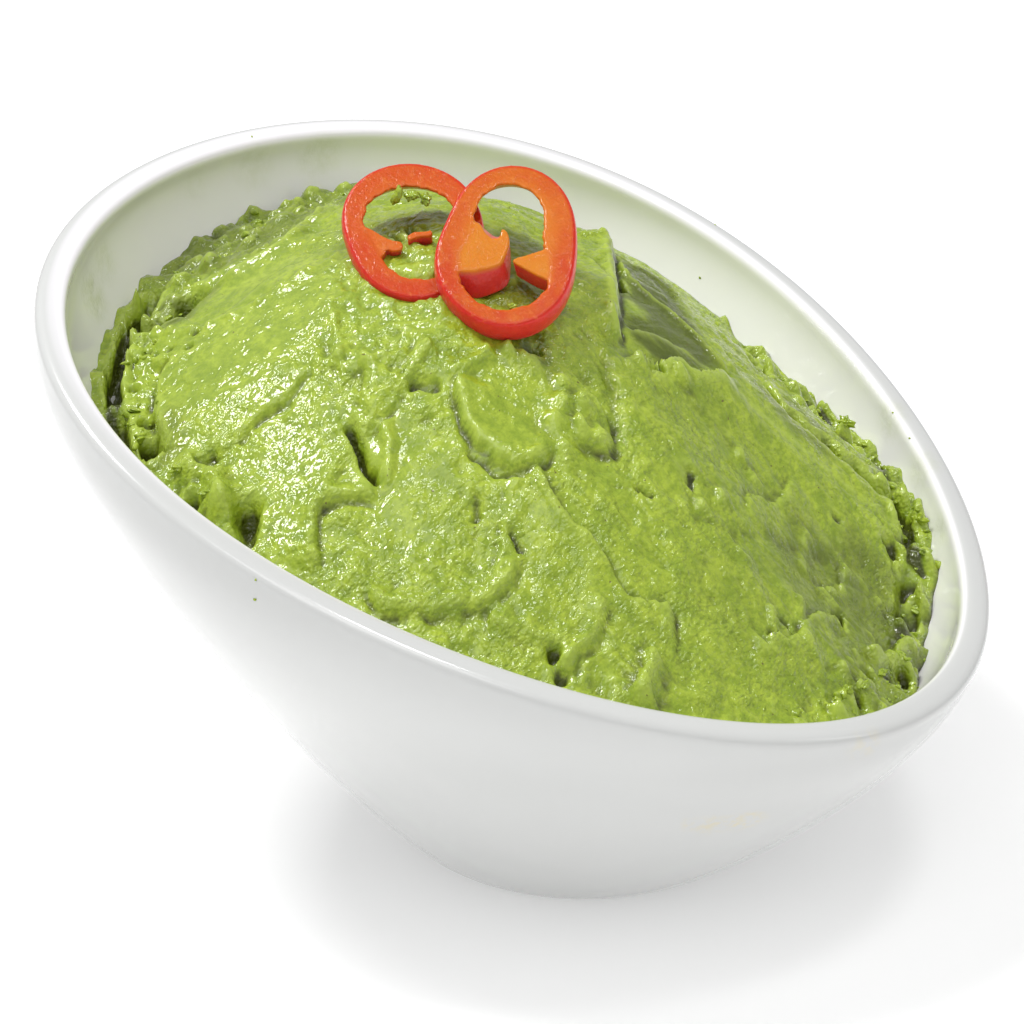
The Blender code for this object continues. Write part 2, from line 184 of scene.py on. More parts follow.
# Round lumps and holes: place, radius, height.
LUMPS = (
    ((16, -16), 2.1, 1.6), ((18, -13), 1.7, 1.8), ((20, -16), 1.6, 1.6), ((22, -14), 1.8, 1.5),
    ((21, -20), 2.1, 1.4), ((17, -19), 2.0, 1.5), ((9, -15), 2.4, 1.2), ((14, -13), 1.6, 1.2),
    ((-21, -59), 2.8, 2.4), ((-14, -60), 2.9, 2.8), ((-18, -62), 1.9, 1.8), ((-12, -61), 2.1, 2.0),
    ((-17, -58), 2.2, 1.6), ((30, 13), 1.7, 1.2), ((33, 13), 1.4, 1.0), ((35, 0), 1.7, 1.2),
    ((35, -5), 1.7, 1.0), ((42, -3), 1.7, 1.0), ((34, -8), 1.5, 0.7), ((20, 10), 1.4, 1.8),
    ((-65, 10), 3.0, 2.0), ((-65, 16), 2.6, 2.4), ((-63, 22), 2.6, 2.2), ((-56, -2), 2.8, 1.6),
    ((-55, -10), 2.6, 1.6), ((-57, -18), 2.6, 2.2), ((-58, -24), 2.2, 2.0), ((42, 42), 2.3, 2.0),
    ((45, 45), 2.4, 2.6), ((50, 38), 2.8, 2.6), ((52, 31), 2.5, 2.2), ((54, 25), 2.0, 1.6),
    ((29, 53), 1.6, 3.0), ((25, 52), 1.7, 2.4), ((40, 47), 1.6, 2.8), ((6, 57), 2.2, 2.4),
    ((13, 55), 2.0, 2.6), ((18, 49), 2.0, 2.0), ((61, -3), 1.7, 1.6), ((62, -7), 1.5, 1.4),
    ((58, 1), 1.8, 1.4), ((55, -3), 1.9, 1.2), ((-46, -38), 1.0, 0.8), ((-42, -37), 0.9, 0.7),
    ((-39, -36), 1.0, 0.7), ((-36, -34), 0.9, 0.5), ((-33, -31), 0.9, 0.6), ((-32, -27), 0.8, 0.5),
    ((-49, -38), 1.1, 1.0), ((-51, -41), 1.0, 0.9), ((-19, -9), 1.2, -3.6), ((8, -13), 1.4, -3.0),
    ((6, -17), 1.4, 1.8), ((-17, -12), 1.6, 1.0), ((35, -42), 1.3, -3.4), ((37, -43), 1.1, -2.8),
    ((59, 6), 1.3, -3.6), ((61, 0), 1.2, -3.4), ((60, 11), 1.4, -3.2), ((60, 16), 1.4, -3.4),
    ((-47, -42), 0.9, -2.0), ((-45, -42), 0.8, -1.6), ((-43, -41), 0.8, -1.6), ((-39, -40), 0.8, -1.6),
    ((-41, -37), 0.9, -1.4), ((46, 34), 1.8, -4.2), ((18, 38), 1.4, -2.6), ((30, 39), 1.4, -2.6),
    ((34, 41), 1.3, -2.6), ((40, 26), 0.9, -1.4), ((-36, -53), 1.5, -3.0), ((-49, -47), 1.3, -2.6),
    ((-43, -49), 1.4, -2.4),
)

# Rough, crumbly stretches along the wall: from one angle to another, how wide, how rough.
ROUGH_BANDS = (
    (128, 168, 0.15, 0.8), (160, 202, 0.22, 1.1), (200, 238, 0.15, 0.9), (234, 262, 0.07, 0.9),
    (340, 372, 0.10, 1.3), (8, 62, 0.11, 1.8), (55, 100, 0.14, 1.9),
)

# Gaps where the heap has pulled away from the wall: from one angle to another, how deep.
WALL_GAPS = (
    (202, 232, 6.5), (231, 247, 4.0), (262, 270, 2.0),
    (24, 34, 3.0), (38, 50, 3.5), (56, 70, 3.5), (68, 80, 2.5),
)

# Patches that the knife left smooth, and patches painted darker, partly a duller green and partly painted
# shade where the heap is turned from the light: middle, reach, how much.
SMOOTH_PATCHES = (
    ((-42, -28), 13, 1.0), ((-30, -34), 12, 0.8), ((-34, -46), 12, 0.6), ((-22, -44), 9, 0.5),
    ((11.5, -23.5), 8, 1.0), ((7, -42), 8, 0.7), ((45, 2), 9, 0.6),
    ((-8, -50), 6, 0.6), ((30, -32), 8, 0.5), ((10, 14), 12, 0.7), ((30, 20), 14, 0.6),
)
SHADE_AND_DULL_PATCHES = (
    ((13, 11.5), 5, 1.0), ((13.5, 18), 6, 1.0), ((6, 23), 7, 1.0), ((-1, 31), 7, 0.9), ((-9, 39), 7, 0.6),
    ((-60, -10), 15, 0.6), ((-58, 10), 14, 0.5), ((-52, -31), 6, 1.0), ((26, 35), 7, 0.5),
    ((50, 14), 13, 0.5), ((52, 22), 10, 0.6), ((34, 6), 16, 0.12), ((46, -8), 9, 0.15),
    ((-30, -58), 6, 0.5), ((60, 6), 7, 0.5), ((-21, -8.5), 4.5, 0.7), ((-2, -3), 6, 0.8),
    ((-7, 3), 5, 0.6), ((8, -13), 2.6, 0.8),
)

# ------------------------------------------------------------------------------------------
# Sizes of the slices, in each slice's own plane
# ------------------------------------------------------------------------------------------
SLICE_TURN, SLICE_LIFT = math.radians(39), math.radians(54)
TOP_SLICE = {
    "centre": np.array([-1.3, -8.0, 99.3]),
    "thickness": 4.3,
    "bed": 1.6,
    "red": 0.0,
    "radius": 12.9,
    "waves": ((0.4, -29), (2.4, 167), (0.35, -146), (0.2, 10)),
    "flesh": 4.2,
    "flesh_waves": ((0.8, 60), (0.6, 10), (0.35, 90)),
}
UNDER_SLICE = {
    "centre": np.array([-17.9, -11.9, 99.5]),
    "thickness": 3.9,
    "bed": 1.1,
    "red": 0.5,
    "radius": 12.1,
    "waves": ((0.8, 10), (1.3, -150), (0.25, 100)),
    "flesh": 4.0,
    "flesh_waves": ((0.5, 120), (0.5, 160), (0.2, 0)),
}


# ------------------------------------------------------------------------------------------
# Small sums used by every shape
# ------------------------------------------------------------------------------------------
RANDOM_SPAN = 128
RELIEF_HEIGHT, RELIEF_LAYERS = 1.6, 3
CHUNK_SPREAD = 0.72


def smooth_step(value):
    value = np.clip(value, 0, 1)
    return value * value * (3 - 2 * value)


def relief(x, y, size, seed):
    """Soft random hills and hollows about one size across, between about -1 and 1."""
    turns = np.random.default_rng(seed).uniform(0, 2 * math.pi, (RANDOM_SPAN, RANDOM_SPAN))
    across, up = x / size, y / size
    column, row = np.floor(across).astype(int), np.floor(up).astype(int)
    right, above = across - column, up - row
    total = np.zeros_like(right)
    for step_x in (0, 1):
        for step_y in (0, 1):
            turn = turns[(column + step_x) % RANDOM_SPAN, (row + step_y) % RANDOM_SPAN]
            dx, dy = right - step_x, above - step_y
            weight = smooth_step(1 - np.abs(dx)) * smooth_step(1 - np.abs(dy))
            total += weight * (np.cos(turn) * dx + np.sin(turn) * dy)
    return total * RELIEF_HEIGHT


def layered_relief(x, y, size, seed):
    """Hills with smaller hills on them."""
    total = np.zeros_like(x)
    for layer in range(RELIEF_LAYERS):
        turned = 0.6 * layer + 0.3
        u = x * math.cos(turned) - y * math.sin(turned)
        v = x * math.sin(turned) + y * math.cos(turned)
        total += relief(u, v, size / 2**layer, seed + layer) / 2**layer
    return total


def chunks(x, y, size, seed):
    """Rounded chunks pressed together: 1 on top of a chunk, down to 0 in the cracks between."""
    rng = np.random.default_rng(seed)
    shift = rng.uniform(0.1, 0.9, (RANDOM_SPAN, RANDOM_SPAN, 2))
    tall = rng.uniform(0.5, 1.0, (RANDOM_SPAN, RANDOM_SPAN))
    column, row = np.floor(x / size).astype(int), np.floor(y / size).astype(int)
    best = np.zeros_like(x)
    for step_x in (-1, 0, 1):
        for step_y in (-1, 0, 1):
            i, j = (column + step_x) % RANDOM_SPAN, (row + step_y) % RANDOM_SPAN
            dx = x / size - (column + step_x + shift[i, j, 0])
            dy = y / size - (row + step_y + shift[i, j, 1])
            round_top = np.sqrt(np.clip(1 - (dx * dx + dy * dy) / CHUNK_SPREAD, 0, 1))
            best = np.maximum(best, tall[i, j] * round_top)
    return best


def smooth_path(points, steps=6):
    """A smooth curve through a few points."""
    marks = np.array(points, float)
    marks = np.vstack([2 * marks[0] - marks[1], marks, 2 * marks[-1] - marks[-2]])
    t = np.linspace(0, 1, steps, endpoint=False)[:, None]
    curve = []
    for a, b, c, d in zip(marks, marks[1:], marks[2:], marks[3:]):
        bend, twist = a - 2.5 * b + 2 * c - d / 2, 1.5 * b - 1.5 * c + (d - a) / 2
        curve.append(b + (c - a) * t / 2 + bend * t**2 + twist * t**3)
    return np.vstack(curve + [marks[-2:-1]])


def beside(x, y, points, reach):
    """Each place's distance from a path, positive on its left, and its share of the way along."""
    path = smooth_path(points)
    low, high = path.min(0) - reach, path.max(0) + reach
    near = (x > low[0]) & (x < high[0]) & (y > low[1]) & (y < high[1])
    px, py = x[near], y[near]
    best, place = np.full(px.shape, float(reach)), np.zeros(px.shape)
    for count, (a, b) in enumerate(zip(path, path[1:])):
        run = b - a
        share = np.clip(((px - a[0]) * run[0] + (py - a[1]) * run[1]) / (run @ run), 0, 1)
        dx, dy = px - a[0] - share * run[0], py - a[1] - share * run[1]
        gap = np.hypot(dx, dy)
        closer = gap < np.abs(best)
        best = np.where(closer, np.copysign(gap, run[0] * dy - run[1] * dx), best)
        place = np.where(closer, (count + share) / (len(path) - 1), place)
    distance, along = np.full(x.shape, float(reach)), np.zeros(x.shape)
    distance[near], along[near] = best, place
    return distance, along


# ------------------------------------------------------------------------------------------
# Making meshes by hand
# ------------------------------------------------------------------------------------------
def let_go():
    """Leaves edit mode and deselects everything."""
    if bpy.context.mode != "OBJECT":
        bpy.ops.object.mode_set(mode="OBJECT")
    bpy.ops.object.select_all(action="DESELECT")


def pick(piece):
    let_go()
    piece.select_set(True)
    bpy.context.view_layer.objects.active = piece


def edit(piece):
    pick(piece)
    bpy.ops.object.mode_set(mode="EDIT")
    bpy.ops.mesh.select_mode(type="VERT")


def name_piece(name):
    piece = bpy.context.object
    piece.name = name
    piece.data.name = name
    return piece


def lay_out(piece, places):
    """Puts every vertex of a mesh at its place, given in millimetres."""
    piece.data.vertices.foreach_set("co", (places * MM).astype(np.float32).ravel())
    piece.data.update()


def new_grid(name, columns, rows):
    """A flat sheet of squares to shape."""
    let_go()
    bpy.ops.mesh.primitive_grid_add(x_subdivisions=columns, y_subdivisions=rows, size=2)
    return name_piece(name)


def apply_modifier(piece, kind, **settings):
    pick(piece)
    change = piece.modifiers.new(kind.title(), kind)
    for key, value in settings.items():
        setattr(change, key, value)
    bpy.ops.object.modifier_apply(modifier=change.name)


def extrude_ring(piece, ring):
    """Extrudes a ring of vertices, and gives the new ring in the same order."""
    before = len(piece.data.vertices)
    select_rings(piece, ring)
    bpy.ops.mesh.extrude_region_move()
    let_go()
    return matched(ring, edge_ends(piece), before)


def edge_ends(piece):
    """The two vertices of every edge, the older one first."""
    ends = np.empty(len(piece.data.edges) * 2, np.int32)
    piece.data.edges.foreach_get("vertices", ends)
    return np.sort(ends.reshape(-1, 2), axis=1)


def matched(ring, ends, before):
    """The vertices, from this number on, that an extrusion joined to a ring's own, in its order."""
    joins = ends[(ends[:, 1] >= before) & (ends[:, 1] < before + len(ring)) & (ends[:, 0] < before)]
    fresh = np.zeros(before, np.int64)
    fresh[joins[:, 0]] = joins[:, 1]
    return fresh[ring]


def select_rings(piece, *rings):
    """Opens a piece in edit mode with only these rings of vertices selected."""
    chosen = np.zeros(len(piece.data.vertices), bool)
    for ring in rings:
        chosen[ring] = True
    pick(piece)
    piece.data.polygons.foreach_set("select", np.zeros(len(piece.data.polygons), bool))
    piece.data.edges.foreach_set("select", np.zeros(len(piece.data.edges), bool))
    piece.data.vertices.foreach_set("select", chosen)
    edit(piece)


def turned_shell(name, stations, close="TIPS"):
    """A closed shell of rings, each extruded from the one before.

    TIPS draws each end in to its middle. BRIDGE joins the last ring to the first.
    """
    let_go()
    around = len(stations[0])
    bpy.ops.mesh.primitive_circle_add(vertices=around, radius=RIM_RADIUS * MM)
    piece = name_piece(name)
    edit(piece)
    bpy.ops.mesh.select_all(action="SELECT")
    for _ in stations[1:]:
        bpy.ops.mesh.extrude_region_move()
    let_go()
    rings = [np.arange(around)]
    joins = edge_ends(piece)
    for count in range(1, len(stations)):
        rings.append(matched(rings[-1], joins, around * count))
    places = np.zeros((len(piece.data.vertices), 3))
    for ring, station in zip(rings, stations):
        places[ring] = station
    lay_out(piece, places)
    if close == "BRIDGE":
        select_rings(piece, rings[0], rings[-1])
        bpy.ops.mesh.bridge_edge_loops()
    else:
        for ring in (rings[0], rings[-1]):
            select_rings(piece, ring)
            bpy.ops.mesh.extrude_region_move()
            bpy.ops.mesh.merge(type="CENTER")
            let_go()
    face_outwards(piece)
    return piece


def face_outwards(piece):
    edit(piece)
    bpy.ops.mesh.select_all(action="SELECT")
    bpy.ops.mesh.normals_make_consistent(inside=False)
    let_go()


def write_measure(piece, name, values):
    """Keeps a number at every vertex, for the piece's material to read."""
    kept = piece.data.attributes.new(name, "FLOAT", "POINT")
    kept.data.foreach_set("value", np.asarray(values, np.float32))


def read_places(piece):
    places = np.empty(len(piece.data.vertices) * 3, np.float32)
    piece.data.vertices.foreach_get("co", places)
    return places.reshape(-1, 3).astype(float) / MM


# ------------------------------------------------------------------------------------------
# The bowl
# ------------------------------------------------------------------------------------------
def rim_line(angle):
    """The rim's outer edge, before its lip is rounded."""
    x = RIM_RADIUS * np.cos(angle)
    y = RIM_RADIUS * np.sin(angle) * (1 - RIM_NARROWING * np.cos(angle))
    return np.stack([x + RIM_SHIFT, y, RIM_HEIGHT - math.tan(RIM_TILT) * x], -1)


def rim_outward(angle):
    step = 1e-4
    outward = np.cross(rim_line(angle + step) - rim_line(angle - step), RIM_NORMAL)
    return outward / np.linalg.norm(outward, axis=-1, keepdims=True)


def wall_point(angle, height, inset=0.0, base=0.0):
    """A point on the wall, from the foot at height 0 to the rim at height 1."""
    turn = np.stack([np.cos(angle), np.sin(angle)], -1)
    top = rim_line(angle) - RIM_NORMAL * LIP_HEIGHT / 2 - rim_outward(angle) * inset
    middle = np.array([FOOT_SHIFT + RIM_SHIFT, 0])
    radius = FOOT_RADIUS - max(inset - WALL, 0)
    foot = np.concatenate([middle + radius * turn, base + 0 * turn[..., :1]], -1)
    lean = turn[..., :1]
    start = foot + (top - foot) * np.array([START_REACH, START_REACH, START_RISE])
    reach, rise = END_REACH + END_REACH_LEAN * lean, END_RISE + END_RISE_LEAN * lean
    end = foot + (top - foot) * np.concatenate([reach, reach, rise], -1)
    h = np.asarray(height, float)[..., None]
    return (1 - h) ** 3 * foot + 3 * h * (1 - h) ** 2 * start + 3 * h * h * (1 - h) * end + h**3 * top


def lip_point(angle, turn):
    """A point on the rounded lip. The turn runs from 0 at the outer face to pi at the inner."""
    outward = rim_outward(angle)
    middle = rim_line(angle) - RIM_NORMAL * LIP_HEIGHT / 2 - outward * WALL / 2
    power = 2 / LIP_SQUARENESS
    across = math.copysign(abs(math.cos(turn)) ** power, math.cos(turn)) * WALL / 2
    return middle + outward * across + RIM_NORMAL * LIP_HEIGHT * math.sin(turn) ** power


# Films of guacamole left on the inner wall, and dried stains outside: angle, height, reach, how thick.
SMEARS = (
    (165, 0.95, 5.0, 0.2), (175, 0.95, 5.0, 0.15), (185, 0.95, 4.0, 0.1), (205, 0.9, 4.0, 0.2),
    (210, 0.87, 4.5, 0.35), (230, 0.93, 4.0, 0.25), (355, 0.87, 4.0, 0.2), (10, 0.87, 3.5, 0.2),
    (45, 0.96, 3.5, 0.2), (55, 1.0, 4.0, 0.2), (65, 1.0, 4.0, 0.2),
)
STAINS = ((325, 0.68, 2.4, 0.4), (328, 0.68, 3.4, 0.5), (332, 0.7, 3.4, 0.6), (345, 1.0, 3.0, 0.25))


def make_bowl():
    angle = np.linspace(0, 2 * math.pi, BOWL_AROUND, endpoint=False)
    foot = wall_point(angle, np.zeros(BOWL_AROUND))
    middle = np.array([FOOT_SHIFT + RIM_SHIFT, 0, 0])

    def foot_ring(inwards, up):
        return middle + (foot - middle) * (1 - inwards / FOOT_RADIUS) + np.array([0, 0, up])

    stations = [foot_ring(FOOT_RADIUS * share, FOOT_RECESS) for share in (0.8, 0.5, 0.25)]
    recess = FOOT_WIDTH + FOOT_RECESS
    stations.append(foot_ring(recess + 0.4, FOOT_RECESS))
    stations.append(foot_ring(recess - 0.3, FOOT_RECESS - 0.3))
    stations.append(foot_ring(FOOT_WIDTH + FOOT_EDGE, FOOT_EDGE / 2))
    stations.append(foot_ring(FOOT_WIDTH + FOOT_EDGE / 3, 0.05))
    stations.append(foot_ring(FOOT_WIDTH, 0))
    stations.append(foot_ring(FOOT_EDGE + 0.5, 0))
    stations.append(foot_ring(FOOT_EDGE, 0.04))
    stations.append(foot_ring(FOOT_EDGE / 3, 0.25))
    for height in np.linspace(0, 1, BOWL_WALL_RINGS)[2:] ** RING_CROWDING:
        stations.append(wall_point(angle, np.full(BOWL_AROUND, height)))
    for turn in np.linspace(0, math.pi, BOWL_LIP_RINGS + 2)[1:-1]:
        stations.append(lip_point(angle, turn))
    for height in np.linspace(1, 0, BOWL_INNER_RINGS) ** RING_CROWDING:
        stations.append(wall_point(angle, np.full(BOWL_AROUND, height), WALL, FLOOR_HEIGHT))
    bowl = turned_shell("glazed_bowl", stations)
    pick(bowl)
    bpy.ops.object.shade_smooth()
    bowl_measures(bowl)
    return bowl


def bowl_measures(bowl):
    """Keeps which places are inside the bowl, where the glaze is painted brighter as painted light, and
    where guacamole was smeared or has dried on.
    """
    places = read_places(bowl)
    facing = np.empty(len(places) * 3, np.float32)
    bowl.data.vertex_normals.foreach_get("vector", facing)
    outwards = places[:, :2] - np.array([RIM_SHIFT, 0])
    inwards = -outwards / np.hypot(outwards[:, 0], outwards[:, 1])[:, None]
    write_measure(bowl, "inside", smooth_step((facing.reshape(-1, 3)[:, :2] * inwards).sum(1) / 0.5))
    for name, table, inset, base in (("smear", SMEARS, WALL, FLOOR_HEIGHT), ("stain", STAINS, 0.0, 0.0)):
        amount = np.zeros(len(places))
        for degrees, height, reach, thick in table:
            middle = wall_point(math.radians(degrees), height, inset, base)
            away = np.linalg.norm(places - middle, axis=1) / reach
            amount = np.maximum(amount, thick * smooth_step((1.2 - away) / 0.8))
        write_measure(bowl, name, amount)


# ------------------------------------------------------------------------------------------
# The heap of guacamole
# ------------------------------------------------------------------------------------------
def rim_level(x):
    return RIM_HEIGHT - math.tan(RIM_TILT) * (x - RIM_SHIFT)


def edge_depth(angle):
    """How far below the rim's plane the heap meets the wall."""
    degrees = np.degrees(angle) % 360
    marks = EDGE_DEPTHS + ((EDGE_DEPTHS[0][0] + 360, EDGE_DEPTHS[0][1]),)
    depth = np.zeros_like(degrees)
    for (start, low), (stop, high) in zip(marks, marks[1:]):
        inside = (degrees >= start) & (degrees < stop)
        share = smooth_step((degrees - start) / (stop - start))
        depth = np.where(inside, low + (high - low) * share, depth)
    return depth


def heap_edge():
    """The line where the heap meets the wall: its angles, its heights on the wall, and its places."""
    angle = np.linspace(0, 2 * math.pi, EDGE_ANGLES, endpoint=False)
    line = rim_line(angle)
    torn = relief(line[:, 0], line[:, 1], 6, 41) + 0.5 * relief(line[:, 0], line[:, 1], 2.2, 42)
    depth = edge_depth(angle) - torn * np.array([rough_at(a) for a in np.degrees(angle)])
    low, high = np.zeros(EDGE_ANGLES), np.ones(EDGE_ANGLES)
    for _ in range(HALVINGS):
        middle = (low + high) / 2
        below = (np.array([RIM_SHIFT, 0, RIM_HEIGHT]) - heap_wall(angle, middle)) @ RIM_NORMAL
        low = np.where(below > depth, middle, low)
        high = np.where(below > depth, high, middle)
    return angle, (low + high) / 2, heap_wall(angle, (low + high) / 2)


def rough_at(degrees):
    """How torn the heap's edge is at an angle."""
    torn = LEAST_TORN
    for start, stop, _, rough in ROUGH_BANDS:
        if start <= degrees <= stop or start <= degrees + 360 <= stop:
            torn = max(torn, rough)
    return torn


def heap_wall(angle, height):
    """Points a hair inside the bowl's inner face, so that no gap shows."""
    return wall_point(angle, height, WALL - HEAP_SINK, FLOOR_HEIGHT - HEAP_SINK)


def wall_gap(degrees, out):
    """How deep the gap just inside the wall is, with a film of guacamole left on the wall."""
    depth = np.zeros_like(degrees)
    for start, stop, deep in WALL_GAPS:
        turned = (degrees - start) / (stop - start)
        depth += deep * smooth_step(turned / 0.2) * smooth_step((1 - turned) / 0.2)
    return depth * smooth_step((out - GAP_START) / 0.014) * smooth_step((GAP_END - out) / 0.014)


class Heap:
    """The heap's top as one height for each place in plan."""

    def __init__(self):
        self.angle, self.height, self.edge = heap_edge()
        self.level = -edge_depth(self.angle) / RIM_NORMAL[2]
        self.torn = self.edge[:, 2] - rim_level(self.edge[:, 0]) - self.level
        spokes = self.edge[:, :2] - PEAK
        self.bearing = np.unwrap(np.arctan2(spokes[:, 1], spokes[:, 0]))
        reach = np.hypot(spokes[:, 0], spokes[:, 1])
        shifts = range(-REACH_EVENED, REACH_EVENED + 1)
        self.reach = np.mean([np.roll(reach, shift) for shift in shifts], axis=0)
        order = np.argsort(self.bearing % (2 * math.pi))
        self.sorted_bearing = (self.bearing % (2 * math.pi))[order]
        self.order = order

    def along_edge(self, values, angle):
        marks, values = np.append(self.angle, 2 * math.pi), np.append(values, values[0])
        return np.interp(angle % (2 * math.pi), marks, values)

    def at_bearing(self, values, bearing):
        turns, order = self.sorted_bearing, self.order
        return np.interp(bearing, turns, values[order], period=2 * math.pi)

    def share_out(self, x, y):
        """Share of the way from the peak to the wall, and the edge's level, raggedness and angle."""
        bearing = np.arctan2(y - PEAK[1], x - PEAK[0]) % (2 * math.pi)
        reach = self.at_bearing(self.reach, bearing)
        out = np.clip(np.hypot(x - PEAK[0], y - PEAK[1]) / reach, 0, 1)
        turned = np.degrees(np.arctan2(y, x - RIM_SHIFT)) % 360
        torn = self.at_bearing(self.torn, bearing) * smooth_step((out - TORN_START) / TORN_WIDTH)
        torn = torn - wall_gap(turned, out + 0.012 * relief(x, y, 4, 24))
        return out, self.at_bearing(self.level, bearing), torn, turned

    def level_at(self, x, y):
        """Height above the rim's plane."""
        out, edge_level, torn, degrees = self.share_out(x, y)
        dome = edge_level + (PEAK_HEIGHT - edge_level) * (1 - out**CROWN) ** SKIRT
        warp_x = x + 0.5 * relief(x, y, 5, 11) + 0.3 * relief(x, y, 1.8, 12)
        warp_y = y + 0.5 * relief(x, y, 5, 13) + 0.3 * relief(x, y, 1.8, 14)
        level = knife_work(warp_x, warp_y, dome)
        level = level + layer_edges(warp_x, warp_y) + ridges_and_cuts(warp_x, warp_y)
        level = level + lumps_and_holes(warp_x, warp_y)
        rough = rough_share(out, degrees, x, y)
        smooth = patches(x, y, SMOOTH_PATCHES)
        level = level + rough * crumbly(x, y) + np.clip(1 - rough, 0, 1) * smeared(x, y, smooth)
        return dome + torn + (level - dome) * smooth_step((1 - out) / 0.03 + 0.25)


def knife_work(x, y, level):
    """The level after every stroke has flattened its own patch, in the order they were made."""
    dome = level.copy()
    soft = STROKE_SOFTNESS
    for start, end, width, lift, lean, lip in STROKES:
        start, run = np.array(start), np.array(end) - np.array(start)
        length = np.hypot(*run)
        run = run / length
        along = (x - start[0]) * run[0] + (y - start[1]) * run[1]
        across = (x - start[0]) * run[1] - (y - start[1]) * run[0]
        inside = smooth_step((width / 2 - np.abs(across)) / soft + 0.5)
        inside = inside * smooth_step(along / soft + 0.5) * smooth_step((length - along) / soft + 0.5)
        raised = lift[0] + (lift[1] - lift[0]) * np.clip(along / length, 0, 1) + lean * across
        level = level * (1 - inside) + (dome + raised) * inside
        level = level + lip * np.exp(-(((length - along) / soft) ** 2)) * (np.abs(across) < width / 2)
    return level


def layer_edges(x, y):
    """Layers that end in a small step over a crease, thickest at their edge and run out behind it."""
    total = np.zeros_like(x)
    for path, height, run_out, crease in LAYERS:
        side, along = beside(x, y, path, run_out)
        taper = smooth_step(along / 0.12) * smooth_step((1 - along) / 0.12)
        behind = np.clip(side, 0, None) / run_out
        brow = 1 + 0.3 * np.exp(-((side - 0.9) ** 2))
        rise = smooth_step(side / 0.6 + 0.5) * (1 - smooth_step(behind)) * brow
        uneven = 0.65 + 0.7 * relief(x, y, 6, 58)
        total += taper * (height * rise - crease * uneven * np.exp(-(((side + 0.65) / 0.5) ** 2)))
    return total


def patches(x, y, table):
    """Soft patches with uneven outlines: 1 in the middle of a full one, 0 away from all."""
    total = np.zeros_like(x)
    for (cx, cy), reach, amount in table:
        away = np.hypot(x - cx, y - cy) / reach + 0.3 * relief(x, y, 5, 59)
        total = np.maximum(total, amount * smooth_step((1.25 - away) / 0.6))
    return total


def ridges_and_cuts(x, y):
    total = np.zeros_like(x)
    for path, height, width in RIDGES:
        side, along = beside(x, y, path, 3 * width)
        taper = smooth_step(along / 0.15) * smooth_step((1 - along) / 0.15)
        total += height * taper * np.exp(-((side / width * 1.6) ** 2))
    for path, depth, width in CUTS:
        side, along = beside(x, y, path, 3 * width)
        taper = smooth_step(along / 0.2) * smooth_step((1 - along) / 0.2)
        total -= depth * taper * np.exp(-np.abs(side / width * 1.7) ** 3)
    return total


def lumps_and_holes(x, y):
    total = np.zeros_like(x)
    for (cx, cy), radius, height in LUMPS:
        total += height * np.exp(-(((x - cx) ** 2 + (y - cy) ** 2) / (radius * 0.75) ** 2) ** 1.3)
    return total


def rough_share(out, degrees, x, y):
    """How crumbly the heap is at each place: 0 where it is smooth, and 1 or more where it is torn."""
    total = np.zeros_like(x)
    torn = 0.05 * relief(x, y, 6, 21) + 0.03 * relief(x, y, 2.5, 22)
    for start, stop, width, rough in ROUGH_BANDS:
        turned = np.where(degrees < start - 30, degrees + 360, degrees)
        sides = smooth_step((turned - start) / 7) * smooth_step((stop - turned) / 7)
        total = np.maximum(total, rough * sides * smooth_step((out - 1 + width + torn) / 0.03))
    return total


def crumbly(x, y):
    """Torn, crumbly guacamole."""
    coarse = chunks(x + 0.8 * relief(x, y, 2.5, 31), y + 0.8 * relief(x, y, 2.5, 32), COARSE_CHUNK, 33)
    fine = chunks(x + 0.3 * relief(x, y, 1.4, 34), y + 0.3 * relief(x, y, 1.4, 35), FINE_CHUNK, 36)
    return 2.3 * coarse + 0.9 * fine - 2.1 + 0.9 * layered_relief(x, y, 5, 37)


def smeared(x, y, smooth):
    """What the knife leaves: low waves, thin smears lying over each other, and small sharp ridges."""
    waves = 0.30 * relief(x, y, 13, 51) + 0.15 * relief(x, y, 5, 52)
    heap = (1.3 * relief(x, y, 9, 61) + 0.7 * relief(x, y, 3.8, 62)) / SMEAR_STEP
    whole = np.floor(heap)
    steps = SMEAR_STEP * (whole + smooth_step((heap - whole - 0.35) / 0.3) - heap * 0.6)
    u, v = x * math.cos(0.5) - y * math.sin(0.5), x * math.sin(0.5) + y * math.cos(0.5)
    ridged = 0.30 * (1 - np.abs(relief(u, v * 0.6, 2.6, 63))) ** 3 + 0.14 * relief(x, y, 1.5, 64)
    return waves + (1 - 0.9 * smooth) * (steps * 0.85 + ridged)


def slice_axes():
    turn, lift = SLICE_TURN, SLICE_LIFT
    face = np.array([math.sin(turn) * math.cos(lift), -math.cos(turn) * math.cos(lift), math.sin(lift)])
    across = np.array([math.cos(turn), math.sin(turn), 0])
    return across, np.cross(face, across), face


def waved(radius, waves, angle):
    total = np.full_like(angle, radius)
    for count, (height, peak) in enumerate(waves, 1):
        total += height * np.cos(count * angle - math.radians(peak))
    return total


def place_in_slice(centre, flat, depth):
    across, upward, face = slice_axes()
    return centre + flat[..., :1] * across + flat[..., 1:] * upward - face * np.asarray(depth)[..., None]


